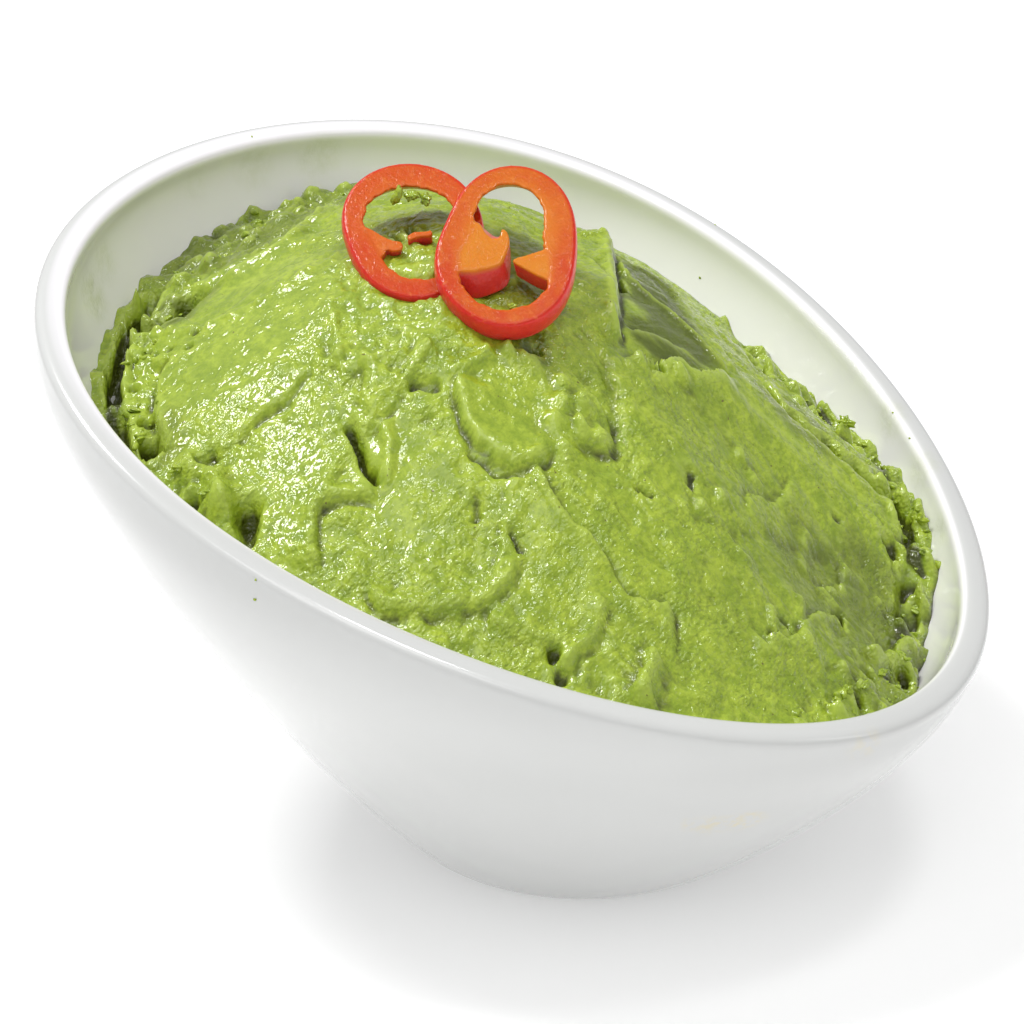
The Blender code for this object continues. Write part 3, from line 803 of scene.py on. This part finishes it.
def make_room(x, y, z):
    """Lowers the heap where a slice lies on it, so that only the slice shows there."""
    across, upward, face = slice_axes()
    for sizes in (TOP_SLICE, UNDER_SLICE):
        offset = np.stack([x, y, z], -1) - sizes["centre"]
        # Where the vertical line through each place meets the slice's plane.
        lifted = -(offset @ face) / face[2]
        flat_x = offset @ across
        flat_y = (offset + np.stack([0 * x, 0 * x, lifted], -1)) @ upward
        angle = np.arctan2(flat_y, flat_x)
        outer = waved(sizes["radius"], sizes["waves"], angle)
        inner = outer - waved(sizes["flesh"], sizes["flesh_waves"], angle)
        radius = np.hypot(flat_x, flat_y)
        plane = z + lifted
        under = smooth_step((outer + 1.1 - radius) / 1.2) * smooth_step((radius - inner + 0.9) / 0.8)
        z = z + (np.minimum(z, plane - sizes["bed"]) - z) * under
    return z


def disc_places(count):
    """Where a square sheet's points go when it is stretched to a round one: share out, and angle."""
    side = np.linspace(-1, 1, count + 1)
    u, v = [grid.ravel() for grid in np.meshgrid(side, side)]
    wide = np.abs(u) > np.abs(v)
    out = np.where(wide, np.abs(u), np.abs(v))
    with np.errstate(divide="ignore", invalid="ignore"):
        angle = np.where(wide, math.pi / 4 * v / u, math.pi / 2 - math.pi / 4 * u / v)
    angle = np.nan_to_num(angle)
    angle = np.where((wide & (u < 0)) | (~wide & (v < 0)), angle + math.pi, angle)
    return out, angle % (2 * math.pi)


def make_heap(heap):
    sheet = new_grid("guacamole_heap", HEAP_GRID, HEAP_GRID)
    out, angle = disc_places(HEAP_GRID)
    edge_x, edge_y = heap.along_edge(heap.edge[:, 0], angle), heap.along_edge(heap.edge[:, 1], angle)
    x, y = PEAK[0] + out * (edge_x - PEAK[0]), PEAK[1] + out * (edge_y - PEAK[1])
    level = heap.level_at(x, y)
    z = make_room(x, y, rim_level(x) + level)
    border = out > 1 - 1e-9
    z = np.where(border, heap.along_edge(heap.edge[:, 2], angle), z)
    places = np.stack([x, y, z], -1)
    lay_out(sheet, places)
    ring = np.flatnonzero(border)
    ring = ring[np.argsort(angle[ring])]
    turns = angle[ring]
    heights = heap.along_edge(heap.height, turns)
    for share in SIDE_RINGS:
        ring = extrude_ring(sheet, ring)
        placed = read_places(sheet)
        placed[ring] = heap_wall(turns, heights * share)
        lay_out(sheet, placed)
    select_rings(sheet, ring)
    bpy.ops.mesh.edge_face_add()
    face_outwards(sheet)
    pick(sheet)
    bpy.ops.object.shade_smooth()
    shape_measures(sheet, x, y, GAP_SHADE * wall_gap(np.degrees(angle), out))
    return sheet


def shape_measures(piece, x, y, deep):
    """Keeps how deep each place lies below its surroundings, plus the gaps' painted shade, which drives
    painted shade in hollows and painted light on ridges; and how smooth it is, and where painted shade,
    partly a duller green, lies.
    """
    count = HEAP_GRID + 1
    places = read_places(piece)
    height = places[: count * count, 2].reshape(count, count)
    around = height.copy()
    for _ in range(SUNK_ROUNDS):
        wide = np.pad(around, 1, mode="edge")
        around = (around + wide[2:, 1:-1] + wide[:-2, 1:-1] + wide[1:-1, 2:] + wide[1:-1, :-2]) / 5
    sunk_shading = np.zeros(len(places))
    sunk_shading[: count * count] = (around - height).ravel() + deep
    write_measure(piece, "sunk_shading", sunk_shading)
    smooth, dull_and_shade = patches(x, y, SMOOTH_PATCHES), patches(x, y, SHADE_AND_DULL_PATCHES)
    for name, values in (("smooth", smooth), ("dull_and_shade", dull_and_shade)):
        kept = np.zeros(len(places))
        kept[: count * count] = values
        write_measure(piece, name, kept)


# ------------------------------------------------------------------------------------------
# Loose crumbs of guacamole
# ------------------------------------------------------------------------------------------
CRUMB_SINK, CRUMB_SMOOTH, CRUMB_SEED = 0.3, 0.7, 71

# Stretches with crumbs: from one angle to another, from how far out to how far, how many, how large.
CRUMB_BANDS = (
    (128, 168, 0.86, 0.99, 30, 0.6), (162, 205, 0.78, 0.99, 60, 0.7), (205, 240, 0.84, 0.915, 60, 0.9),
    (240, 262, 0.95, 1.0, 26, 0.8), (338, 372, 0.90, 1.0, 60, 1.0), (8, 62, 0.93, 1.0, 70, 0.9),
    (50, 100, 0.90, 1.0, 50, 0.9),
)
# Larger torn clumps: place in plan, size.
CLUMPS = (
    ((25, 52), 2.0), ((29, 53), 2.2), ((33, 51), 1.8), ((40, 45), 2.4), ((43, 41), 2.4), ((45, 44), 2.2),
    ((50, 38), 2.4), ((53, 31), 2.2), ((57, 24), 1.9), ((58, 18), 1.8), ((59, 10), 1.9), ((61, 2), 1.8),
    ((21, 54), 2.2), ((36, 48), 2.0), ((47, 41), 2.0), ((55, 27), 1.8), ((33, 46), 1.5), ((27, 50), 1.7),
    ((61, -3), 1.7), ((15, 55), 2.2), ((8, 57), 2.2), ((-66, 12), 2.4), ((-65, 20), 2.4), ((-66, 2), 2.2),
    ((-64, -8), 2.2), ((-62, -20), 2.2), ((-40, -52), 2.0), ((-34, -56), 2.0), ((-22, -60), 1.8),
    ((-15, -61), 2.0),
)
# Specks on the bowl. On the wall: angle, height, inside or not, size. On the lip: angle, turn, size.
WALL_SPECKS = ((275, 0.96, False, 0.45), (105, 0.88, True, 0.4))
LIP_SPECKS = ((275, 20, 0.3), (175, 100, 0.35), (105, 70, 0.35), (65, 150, 0.4), (60, 150, 0.35))


# Clumps seen through the slices: which slice, place in its plane, depth, size.
IN_THE_RINGS = (
    (UNDER_SLICE, (-2, 6.6), 0.4, 1.9), (UNDER_SLICE, (0.3, 6.8), 0.3, 2.0),
    (UNDER_SLICE, (2.6, 6.2), 0.4, 1.9), (TOP_SLICE, (1, -10.4), 2.0, 1.4),
)


def make_crumbs(heap):
    """Crumbs and clumps along the wall, specks on the bowl and clumps in the slices, as one piece."""
    rng = np.random.default_rng(CRUMB_SEED)
    spots = [(rng.uniform(start, stop), rng.uniform(low, high), size)
             for start, stop, low, high, count, size in CRUMB_BANDS for _ in range(count)]
    turns, outs, sizes = np.array(spots).T
    turns = np.radians(turns)
    x = PEAK[0] + outs * (heap.along_edge(heap.edge[:, 0], turns) - PEAK[0])
    y = PEAK[1] + outs * (heap.along_edge(heap.edge[:, 1], turns) - PEAK[1])
    sizes = sizes * rng.gamma(4, 0.22, len(x))
    middles = on_heap(heap, x, y, sizes)
    crumbs = scattered(2, middles, sizes, rng)
    sizes = np.array([size for _, size in CLUMPS])
    x, y = np.array([place for place, _ in CLUMPS], float).T
    crumbs += scattered(4, on_heap(heap, x, y, sizes), sizes, rng)
    specks = [(wall_point(math.radians(degrees), height, WALL * inside, FLOOR_HEIGHT * inside), size)
              for degrees, height, inside, size in WALL_SPECKS]
    specks += [(lip_point(math.radians(degrees), math.radians(turn)), size)
               for degrees, turn, size in LIP_SPECKS]
    crumbs += scattered(2, [place for place, _ in specks], [size for _, size in specks], rng)
    for sizes, flat, depth, size in IN_THE_RINGS:
        crumbs += scattered(4, place_in_slice(sizes["centre"], np.array([flat]), [depth]), [size], rng)
    pile = joined("guacamole_crumbs", crumbs)
    write_measure(pile, "smooth", np.full(len(pile.data.vertices), CRUMB_SMOOTH))
    return pile


def on_heap(heap, x, y, sizes):
    return np.stack([x, y, rim_level(x) + heap.level_at(x, y) - CRUMB_SINK * sizes], -1)


def scattered(fineness, middles, sizes, rng):
    """One torn lump at each place."""
    let_go()
    bpy.ops.mesh.primitive_ico_sphere_add(subdivisions=fineness, radius=1)
    pattern = name_piece("crumb")
    ball = read_places(pattern) * MM
    crumbs = []
    for middle, size in zip(middles, sizes):
        crumb = bpy.data.objects.new("crumb", pattern.data.copy())
        bpy.context.scene.collection.objects.link(crumb)
        lay_out(crumb, torn_lump(ball, size, rng) + middle)
        crumbs.append(crumb)
    bpy.data.objects.remove(pattern)
    return crumbs


def torn_lump(ball, size, rng):
    """A lump with a torn, creased outline."""
    shape = ball * size * np.array([1, rng.uniform(0.5, 0.9), rng.uniform(0.35, 0.75)])
    for waves, depth in ((2.2, 0.34), (4.5, 0.26), (9, 0.13)):
        ripple = np.abs(np.sin(ball @ rng.uniform(-waves, waves, 3) + rng.uniform(0, 6)))
        ripple += np.abs(np.sin(ball @ rng.uniform(-waves, waves, 3) + rng.uniform(0, 6)))
        shape = shape * (1 + depth * (0.6 - ripple[:, None]) / 1.2)
    turn = Matrix.Rotation(rng.uniform(0, 2 * math.pi), 3, Vector(rng.normal(size=3)))
    return shape @ np.array(turn).T


def joined(name, pieces):
    let_go()
    for piece in pieces:
        piece.select_set(True)
    bpy.context.view_layer.objects.active = pieces[0]
    bpy.ops.object.join()
    bpy.ops.object.shade_smooth()
    return name_piece(name)


# ------------------------------------------------------------------------------------------
# The slices of pepper
# ------------------------------------------------------------------------------------------
# Webs of flesh, each by its outline on the cut face and its outline on the underside.
TOP_SEPTA = (
    (
        ((-8.4, 3.0), (-4.6, 4.1), (-3.2, 1.9), (-2.0, 0.7), (-0.9, 1.0), (-0.7, 2.9), (0.2, 2.3),
         (0.5, 0.2), (-0.2, -2.2), (-1.2, -3.8), (-3.9, -4.6), (-5.5, -4.9), (-8.4, -4.3)),
        ((-8.0, 5.5), (-5.0, 7.0), (-3.2, 5.8), (-2.2, 4.8), (-1.4, 4.2), (-0.6, 3.4), (0.1, 2.6),
         (0.7, 1.0), (0.8, -2.0), (0.2, -5.4), (-3.4, -7.6), (-6, -7.6), (-8.2, -5.0)),
    ),
    (
        ((8.9, 0.2), (8, -0.2), (6.4, -0.8), (3.4, -2.0), (0.9, -3.0), (2.4, -4.4), (5.2, -6.2),
         (7.4, -7.0), (9.0, -4)),
        ((8.9, 1.0), (8, 0.8), (6.2, 0.2), (3.4, -1.2), (1.6, -3.0), (2.8, -4.2), (5.2, -5.8),
         (7.4, -6.6), (9.0, -4)),
    ),
)
LOOSE_STRIP = (
    (-0.2, -1.3), (0.8, -0.6), (2.2, -0.5), (3.6, -0.3), (3.5, -1.3), (2.0, -1.5), (0.8, -1.9), (0, -2.2),
)
UNDER_SEPTA = (
    (
        ((-8.4, 1.2), (-5.9, -0.1), (-4.2, -1.3), (-2.6, -2.2), (-1.0, -2.6), (-0.9, -4.0), (-2.4, -4.4),
         (-3.4, -4.0), (-3.7, -5.0), (-6, -6.6), (-8.2, -5.4)),
        ((-8.4, 1.5), (-5.9, 0.6), (-4.4, -0.7), (-2.8, -1.6), (-1.6, -2.4), (-1.4, -3.4), (-2.4, -3.9),
         (-3.4, -3.8), (-4.0, -4.8), (-6, -6.0), (-8.2, -5.2)),
    ),
    (LOOSE_STRIP, LOOSE_STRIP),
)
SLICE_AROUND, SEPTUM_STEPS = 216, 5
SKIN_ROUND, SKIN_CORNER, FLARE, FRINGE_AROUND = 0.45, 0.12, 0.6, 20
SLICE_GRAIN, SLICE_SMOOTHING, SMOOTHING_ROUNDS = 0.22, 0.5, 3


def slice_band(sizes, name):
    """The closed band of flesh round a slice, its skin bulging a little and its edges crisp."""
    angle = np.linspace(0, 2 * math.pi, SLICE_AROUND, endpoint=False)
    turn = np.stack([np.cos(angle), np.sin(angle)], -1)
    outer = waved(sizes["radius"], sizes["waves"], angle)
    inner = outer - waved(sizes["flesh"], sizes["flesh_waves"], angle)
    round_x, round_y = FRINGE_AROUND * np.cos(angle), FRINGE_AROUND * np.sin(angle)
    torn = 0.3 * relief(round_x, round_y, 2.1, 61) + 0.22 * relief(round_x, round_y, 0.9, 65)
    deep = sizes["thickness"]
    flare = FLARE * smooth_step((np.sin(angle) + 0.15) / 0.5)
    section = (
        (outer - SKIN_ROUND, 0.0), (outer - SKIN_CORNER, SKIN_CORNER), (outer, SKIN_ROUND),
        (outer + 0.2, deep * 0.3), (outer + 0.25, deep / 2), (outer + 0.2, deep * 0.7),
        (outer, deep - SKIN_ROUND), (outer - SKIN_CORNER, deep - SKIN_CORNER), (outer - SKIN_ROUND, deep),
        (inner + 0.5 + flare * deep, deep), (inner + 0.1 + flare * deep, deep - 0.2),
        (inner + flare * deep * 0.6, deep * 0.6), (inner + flare * 0.8 + torn * 0.5, 0.8),
        (inner + torn + 0.1, 0.2), (inner + 0.4 + torn, 0.0),
    )
    stations = [place_in_slice(sizes["centre"], turn * radius[:, None], np.full(SLICE_AROUND, depth))
                for radius, depth in section]
    return turned_shell(name, stations, close="BRIDGE")


def septum(sizes, top, bottom, name):
    """A web of flesh between the cut face and the underside, each with its own outline."""
    stations = []
    closed_top, closed_bottom = [smooth_path(line + line[:1], SEPTUM_STEPS)[:-1] for line in (top, bottom)]
    deep = sizes["thickness"]
    for share in (0.0, 0.02, 0.2, 0.45, 0.7, 0.9, 1.0):
        flat = closed_top + (closed_bottom - closed_top) * share**0.8
        if share in (0.0, 1.0):
            flat = flat + (flat.mean(0) - flat) * 0.06
        depth = 0.08 + (deep - 0.16) * share
        stations.append(place_in_slice(sizes["centre"], flat, np.full(len(flat), depth)))
    return turned_shell(name, stations)


def make_slice(name, sizes, septa):
    band = slice_band(sizes, name)
    webs = [septum(sizes, top, bottom, f"{name}_web") for top, bottom in septa]
    band = joined(name, [band] + webs)
    apply_modifier(band, "REMESH", mode="VOXEL", voxel_size=SLICE_GRAIN * MM)
    apply_modifier(band, "SMOOTH", factor=SLICE_SMOOTHING, iterations=SMOOTHING_ROUNDS)
    pick(band)
    bpy.ops.object.shade_smooth()
    slice_measures(band, sizes)
    return band


def slice_measures(piece, sizes):
    """Keeps how far in from the skin and below the cut face each place lies, and if it is upper or web."""
    across, upward, face = slice_axes()
    offset = read_places(piece) - sizes["centre"]
    flat_x, flat_y, depth = offset @ across, offset @ upward, -(offset @ face)
    angle = np.arctan2(flat_y, flat_x)
    outer = waved(sizes["radius"], sizes["waves"], angle)
    inward = outer - np.hypot(flat_x, flat_y)
    flesh = waved(sizes["flesh"], sizes["flesh_waves"], angle)
    write_measure(piece, "inward", inward)
    write_measure(piece, "depth", depth)
    write_measure(piece, "upper", smooth_step((flat_y + 7) / 14))
    write_measure(piece, "red", np.full(len(depth), sizes["red"]))
    write_measure(piece, "web", smooth_step((inward - flesh * 0.75) / (flesh * 0.5)))


# ------------------------------------------------------------------------------------------
# Materials. Colours are linear red, green and blue.
# ------------------------------------------------------------------------------------------
AVOCADO, AVOCADO_PALE, AVOCADO_GRAIN = (0.240, 0.340, 0.016), (0.380, 0.490, 0.034), (0.190, 0.285, 0.010)
# The dull, deep and edge greens are painted: shade, partly a duller green, on turned-away patches; shade in
# hollows; light on ridges.
AVOCADO_SHADE_AND_DULL, AVOCADO_HOLLOW_SHADE, AVOCADO_RIDGE_LIGHT = (0.085, 0.115, 0.006), (0.045, 0.055, 0.003), (0.43, 0.55, 0.075)
AVOCADO_FLECK, AVOCADO_FILM, DRIED_STAIN = (0.12, 0.085, 0.02), (0.40, 0.46, 0.12), (0.72, 0.62, 0.33)
# The glaze is one white, painted darker outside and brighter inside: painted shade and painted light.
GLAZE_OUTSIDE_SHADE, GLAZE_OUTSIDE_SHADE_PALE, GLAZE_INSIDE_LIT = (0.605, 0.612, 0.600), (0.625, 0.632, 0.620), (0.95, 0.93, 0.97)
RIPE_LOW, RIPE_HIGH, RIPE_CLOUD = (0.54, 0.050, 0.002), (0.56, 0.095, 0.003), (0.60, 0.135, 0.004)
FLESH_INNER, FLESH_WEB, FLESH_RED = (0.62, 0.170, 0.006), (0.64, 0.225, 0.008), (0.56, 0.050, 0.003)
FLESH_RIM, FLESH_CELLS = (0.54, 0.020, 0.004), (0.72, 0.24, 0.045)
SIDE, SIDE_PALE, SIDE_WEB = (0.58, 0.030, 0.038), (0.74, 0.055, 0.042), (0.70, 0.06, 0.03)
SKIN, SKIN_PALE = (0.72, 0.026, 0.024), (0.80, 0.042, 0.030)
TABLE, TABLE_PALE = (0.80, 0.80, 0.80), (0.82, 0.82, 0.82)


def new_material(name, **settings):
    """A Principled material, its node tree and its shader."""
    made = bpy.data.materials.new(name)
    made.use_nodes = True
    shader = made.node_tree.nodes["Principled BSDF"]
    for socket, value in settings.items():
        shader.inputs[socket.replace("_", " ")].default_value = value
    return made, made.node_tree, shader


def node(tree, kind, settings=None, **inputs):
    """Adds a node, and sets or links its inputs."""
    made = tree.nodes.new("ShaderNode" + kind)
    for key, value in (settings or {}).items():
        setattr(made, key, value)
    for socket, value in inputs.items():
        plug(tree, made.inputs[socket.replace("_", " ")], value)
    return made


def plug(tree, socket, value):
    if isinstance(value, bpy.types.NodeSocket):
        tree.links.new(value, socket)
    else:
        socket.default_value = value


def product(tree, first, second):
    made = tree.nodes.new("ShaderNodeMath")
    made.operation = "MULTIPLY"
    plug(tree, made.inputs[0], first)
    plug(tree, made.inputs[1], second)
    return made.outputs[0]


def between(tree, value, low, high, to_low=0.0, to_high=1.0):
    made = node(tree, "MapRange", Value=value, From_Min=low, From_Max=high, To_Min=to_low, To_Max=to_high)
    return made.outputs["Result"]


def blend(tree, share, first, second):
    made = tree.nodes.new("ShaderNodeMix")
    made.data_type = "RGBA"
    plug(tree, made.inputs["Factor"], share)
    plug(tree, made.inputs["A"], (*first, 1) if isinstance(first, tuple) else first)
    plug(tree, made.inputs["B"], (*second, 1) if isinstance(second, tuple) else second)
    return made.outputs["Result"]


def tinted(tree, base, colour, value, low, high, most=1.0):
    """Lays a colour over a base, more and more as the value goes from low to high."""
    return blend(tree, between(tree, value, low, high, 0.0, most), base, colour)


def speckle(tree, places, size, detail=2.0, roughness=0.5, stretch=None):
    """Noise with features about one size across, in millimetres."""
    if stretch:
        places = node(tree, "Mapping", Vector=places, Scale=stretch[0], Rotation=stretch[1]).outputs[0]
    made = node(tree, "TexNoise", Vector=places, Scale=1 / (size * MM), Detail=detail, Roughness=roughness)
    return made.outputs["Fac"]


def measure(tree, name):
    return node(tree, "Attribute", {"attribute_name": name}).outputs["Fac"]


def object_places(tree):
    return node(tree, "TexCoord").outputs["Object"]


def bumps(tree, shader, *reliefs):
    """Chains bumps, each a height and its depth in millimetres, into a shader's normals."""
    normal = None
    for height, depth in reliefs:
        made = node(tree, "Bump", Height=height, Distance=depth * MM, Strength=1.0)
        if normal is not None:
            tree.links.new(normal, made.inputs["Normal"])
        normal = made.outputs["Normal"]
    tree.links.new(normal, shader.inputs["Normal"])
    tree.links.new(normal, shader.inputs["Coat Normal"])


def guacamole_look():
    """Mashed avocado: soft and mottled, with painted shade in hollows and on patches turned from the light
    (partly a duller green), painted light on ridges, and a film of wet on top.
    """
    look, tree, shader = new_material(
        "smooth_guacamole", Roughness=0.45, Subsurface_Weight=0.15, Subsurface_Scale=0.6 * MM,
        Specular_IOR_Level=0.25, Coat_Weight=0.88, Coat_Roughness=0.07, IOR=1.4,
    )
    shader.inputs["Subsurface Radius"].default_value = (1.0, 1.0, 0.4)
    places = object_places(tree)
    sunk_shading, smooth, dull_and_shade = measure(tree, "sunk_shading"), measure(tree, "smooth"), measure(tree, "dull_and_shade")
    cloud = speckle(tree, places, 4, 4, 0.7)
    grain = speckle(tree, places, 1.1, 3, 0.65)
    flesh = tinted(tree, AVOCADO, AVOCADO_PALE, cloud, 0.38, 0.62)
    flesh = tinted(tree, flesh, AVOCADO_GRAIN, grain, 0.45, 0.62, 0.55)
    # Painted shade, partly a duller green, on the patches turned from the light.
    flesh = tinted(tree, flesh, AVOCADO_SHADE_AND_DULL, dull_and_shade, 0.0, 1.0, 0.95)
    # Painted shade in hollows and in the gaps at the wall, and painted light on ridges and tops.
    flesh = tinted(tree, flesh, AVOCADO_HOLLOW_SHADE, sunk_shading, 0.10, 0.85, 0.95)
    flesh = tinted(tree, flesh, AVOCADO_RIDGE_LIGHT, sunk_shading, -0.08, -0.6, 0.6)
    fleck = speckle(tree, places, 0.9, 1, 0.5)
    flesh = tinted(tree, flesh, AVOCADO_FLECK, fleck, 0.77, 0.80, 0.8)
    tree.links.new(flesh, shader.inputs["Base Color"])
    patchy = between(tree, speckle(tree, places, 7, 2), 0.38, 0.6, 0.35, 1.0)
    film = product(tree, patchy, between(tree, smooth, 0.0, 1.0, 1.0, 0.4))
    wet = speckle(tree, places, 0.85, 1, 0.5, ((1.3, 0.8, 1.0), (0, 0, 0.25)))
    bumps(tree, shader, (grain, 0.06), (product(tree, wet, film), 0.48))
    return look


def glaze_look():
    """Glossy white glaze, painted darker outside and brighter inside as painted shade and painted light,
    with smears of guacamole wiped on it.
    """
    look, tree, shader = new_material(
        "white_glaze", Roughness=0.2, Coat_Weight=0.8, Coat_Roughness=0.04, IOR=1.5,
    )
    places = object_places(tree)
    tone = speckle(tree, places, 30, 2)
    outside = tinted(tree, GLAZE_OUTSIDE_SHADE, GLAZE_OUTSIDE_SHADE_PALE, tone, 0.3, 0.7)
    # The inside is painted brighter than the outside: painted light inside, painted shade outside.
    white = blend(tree, measure(tree, "inside"), outside, GLAZE_INSIDE_LIT)
    smear, stain = measure(tree, "smear"), measure(tree, "stain")
    broken = speckle(tree, places, 2.2, 3, 0.7)
    film = product(tree, smear, between(tree, broken, 0.35, 0.65, 0.35, 1.0))
    white = blend(tree, film, white, AVOCADO_FILM)
    blot = product(tree, stain, between(tree, broken, 0.42, 0.6))
    white = blend(tree, blot, white, DRIED_STAIN)
    tree.links.new(white, shader.inputs["Base Color"])
    wave = speckle(tree, places, 14, 1)
    bumps(tree, shader, (wave, 0.12), (product(tree, film, broken), 0.3))
    return look


def pepper_look():
    """Red pepper: orange cut flesh, paler inwards and on its webs, with redder sides and red skin."""
    look, tree, shader = new_material(
        "red_pepper", Roughness=0.3, Subsurface_Weight=0.35, Subsurface_Scale=1.6 * MM, Coat_Weight=0.35,
        Coat_Roughness=0.05, IOR=1.35, Specular_IOR_Level=0.25,
    )
    shader.inputs["Subsurface Radius"].default_value = (1.0, 0.3, 0.05)
    places = object_places(tree)
    inward, depth, web = measure(tree, "inward"), measure(tree, "depth"), measure(tree, "web")
    cells = speckle(tree, places, 1.1, 3, 0.65)
    cloud = speckle(tree, places, 5, 2, 0.6)
    upper = between(tree, measure(tree, "upper"), 0.0, 1.0)
    ripe = blend(tree, upper, RIPE_LOW, RIPE_HIGH)
    ripe = tinted(tree, ripe, RIPE_CLOUD, cloud, 0.42, 0.62, 0.6)
    pale = tinted(tree, FLESH_INNER, FLESH_WEB, web, 0.0, 1.0)
    cut = tinted(tree, ripe, pale, inward, 2.2, 4.4, 0.8)
    cut = tinted(tree, cut, FLESH_RED, measure(tree, "red"), 0.0, 1.0)
    cut = tinted(tree, cut, FLESH_RIM, inward, 0.9, 0.3)
    cut = tinted(tree, cut, FLESH_CELLS, cells, 0.56, 0.70, 0.4)
    side = tinted(tree, SIDE, SIDE_PALE, cells, 0.3, 0.7)
    side = tinted(tree, side, SIDE_WEB, web, 0.3, 1.0, 0.4)
    flesh = tinted(tree, cut, side, depth, 0.2, 0.8)
    skin = tinted(tree, SKIN, SKIN_PALE, cells, 0.3, 0.7)
    flesh = tinted(tree, flesh, skin, inward, 0.3, 0.05)
    tree.links.new(flesh, shader.inputs["Base Color"])
    fine = speckle(tree, places, 0.5, 2)
    bumps(tree, shader, (cells, 0.16), (fine, 0.05))
    return look


# ------------------------------------------------------------------------------------------
# Table, light and camera
# ------------------------------------------------------------------------------------------
CAMERA_TURN, CAMERA_RISE = 0.6805, 0.408
CAMERA_AWAY, CAMERA_ASIDE, CAMERA_UP = 421.9, -5.522, 14.956
AIM = np.array([RIM_SHIFT, 0, 35.56])
LENS, SENSOR = 89.07, 36.0
STUDIO_SIDE, STUDIO_LIGHT = (-0.75, 0.65, 0.2), (0.46, 0.56)
TABLE_SIDE, LIT_HEIGHT = 6, 0.06

# Soft lights: name, direction from the bowl, then distance, width and length in metres, and watts.
SOFT_BOXES = (
    ("key", (-0.42, 0.90, -0.10), 1.1, 0.29, 0.29, 7.6),
    ("top", (0.25, 0.95, 0.12), 1.1, 0.18, 0.18, 1.6),
    ("front", (0.05, 0.87, 0.50), 1.4, 0.8, 0.8, 3.5),
    ("side", (0.86, 0.45, 0.15), 1.3, 0.2, 0.5, 0.4),
)


def camera_axes():
    turn, rise = CAMERA_TURN, CAMERA_RISE
    back = np.array([math.sin(turn) * math.cos(rise), -math.cos(turn) * math.cos(rise), math.sin(rise)])
    right = np.array([math.cos(turn), math.sin(turn), 0])
    return right, np.cross(back, right), back


def set_camera():
    right, up, back = camera_axes()
    eye = AIM + right * CAMERA_ASIDE + up * CAMERA_UP + back * CAMERA_AWAY
    camera = bpy.data.objects.new("camera", bpy.data.cameras.new("camera"))
    bpy.context.scene.collection.objects.link(camera)
    place = Matrix(np.stack([right, up, back], 1).tolist()).to_4x4()
    place.translation = Vector(eye * MM)
    camera.matrix_world = place
    camera.data.sensor_width, camera.data.lens = SENSOR, LENS
    camera.data.clip_start = 0.01
    bpy.context.scene.camera = camera


def soft_box(name, toward, away, width, length, power):
    """A soft light that faces the bowl. The direction is given as right, up and back from the camera."""
    right, _, back = camera_axes()
    upright, level_back = np.array([0, 0, 1]), np.array([back[0], back[1], 0])
    direction = toward[0] * right + toward[1] * upright + toward[2] * level_back
    direction = direction / np.linalg.norm(direction)
    light = bpy.data.lights.new(name, "AREA")
    light.shape, light.size, light.size_y = "RECTANGLE", width, length
    light.energy = power
    made = bpy.data.objects.new(name, light)
    bpy.context.scene.collection.objects.link(made)
    made.location = Vector(direction * away) + Vector((0, 0, LIT_HEIGHT))
    made.rotation_euler = Vector(direction).to_track_quat("Z", "Y").to_euler()


def set_studio():
    """A white studio, brightest high on the left and dimmer low on the right and behind."""
    world = bpy.data.worlds.new("studio")
    world.use_nodes = True
    tree = world.node_tree
    right, _, back = camera_axes()
    bright = STUDIO_SIDE[0] * right + STUDIO_SIDE[1] * np.array([0, 0, 1]) + STUDIO_SIDE[2] * back
    bright = bright / np.linalg.norm(bright)
    facing = tree.nodes.new("ShaderNodeVectorMath")
    facing.operation = "DOT_PRODUCT"
    tree.links.new(node(tree, "TexCoord").outputs["Generated"], facing.inputs[0])
    facing.inputs[1].default_value = bright
    strength = between(tree, facing.outputs["Value"], -0.6, 1.0, *STUDIO_LIGHT)
    background = tree.nodes["Background"]
    background.inputs["Color"].default_value = (1, 1, 1, 1)
    tree.links.new(strength, background.inputs["Strength"])
    bpy.context.scene.world = world


def set_stage():
    let_go()
    bpy.ops.mesh.primitive_plane_add(size=TABLE_SIDE)
    floor = name_piece("table")
    look, tree, shader = new_material(
        "pale_table", Roughness=0.7, Emission_Color=(1, 1, 1, 1), Emission_Strength=0.3,
    )
    tone = speckle(tree, object_places(tree), 60, 2)
    pale = tinted(tree, TABLE, TABLE_PALE, tone, 0.3, 0.7)
    tree.links.new(pale, shader.inputs["Base Color"])
    floor.data.materials.append(look)
    set_studio()
    for settings in SOFT_BOXES:
        soft_box(*settings)
    bpy.context.scene.view_settings.view_transform = "Standard"


# ------------------------------------------------------------------------------------------
# Putting it together
# ------------------------------------------------------------------------------------------
def settle(piece, look, slot, *nodes):
    """Gives a piece its material, hangs it under the root, and hides the model's parts that it stands in
    for.
    """
    piece.data.materials.clear()
    piece.data.materials.append(look)
    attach(piece, "root")
    if nodes:
        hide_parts(*nodes)


set_camera()
set_stage()
heap = Heap()
settle(make_bowl(), glaze_look(), "glazed_white", "bowl")
green = guacamole_look()
settle(make_heap(heap), green, "guacamole", "guacamole")
settle(make_crumbs(heap), green, "guacamole")
pepper = pepper_look()
settle(make_slice("top_slice", TOP_SLICE, TOP_SEPTA), pepper, "red_pepper", "pepper_slice_top")
settle(make_slice("under_slice", UNDER_SLICE, UNDER_SEPTA), pepper, "red_pepper", "pepper_slice_under")
let_go()
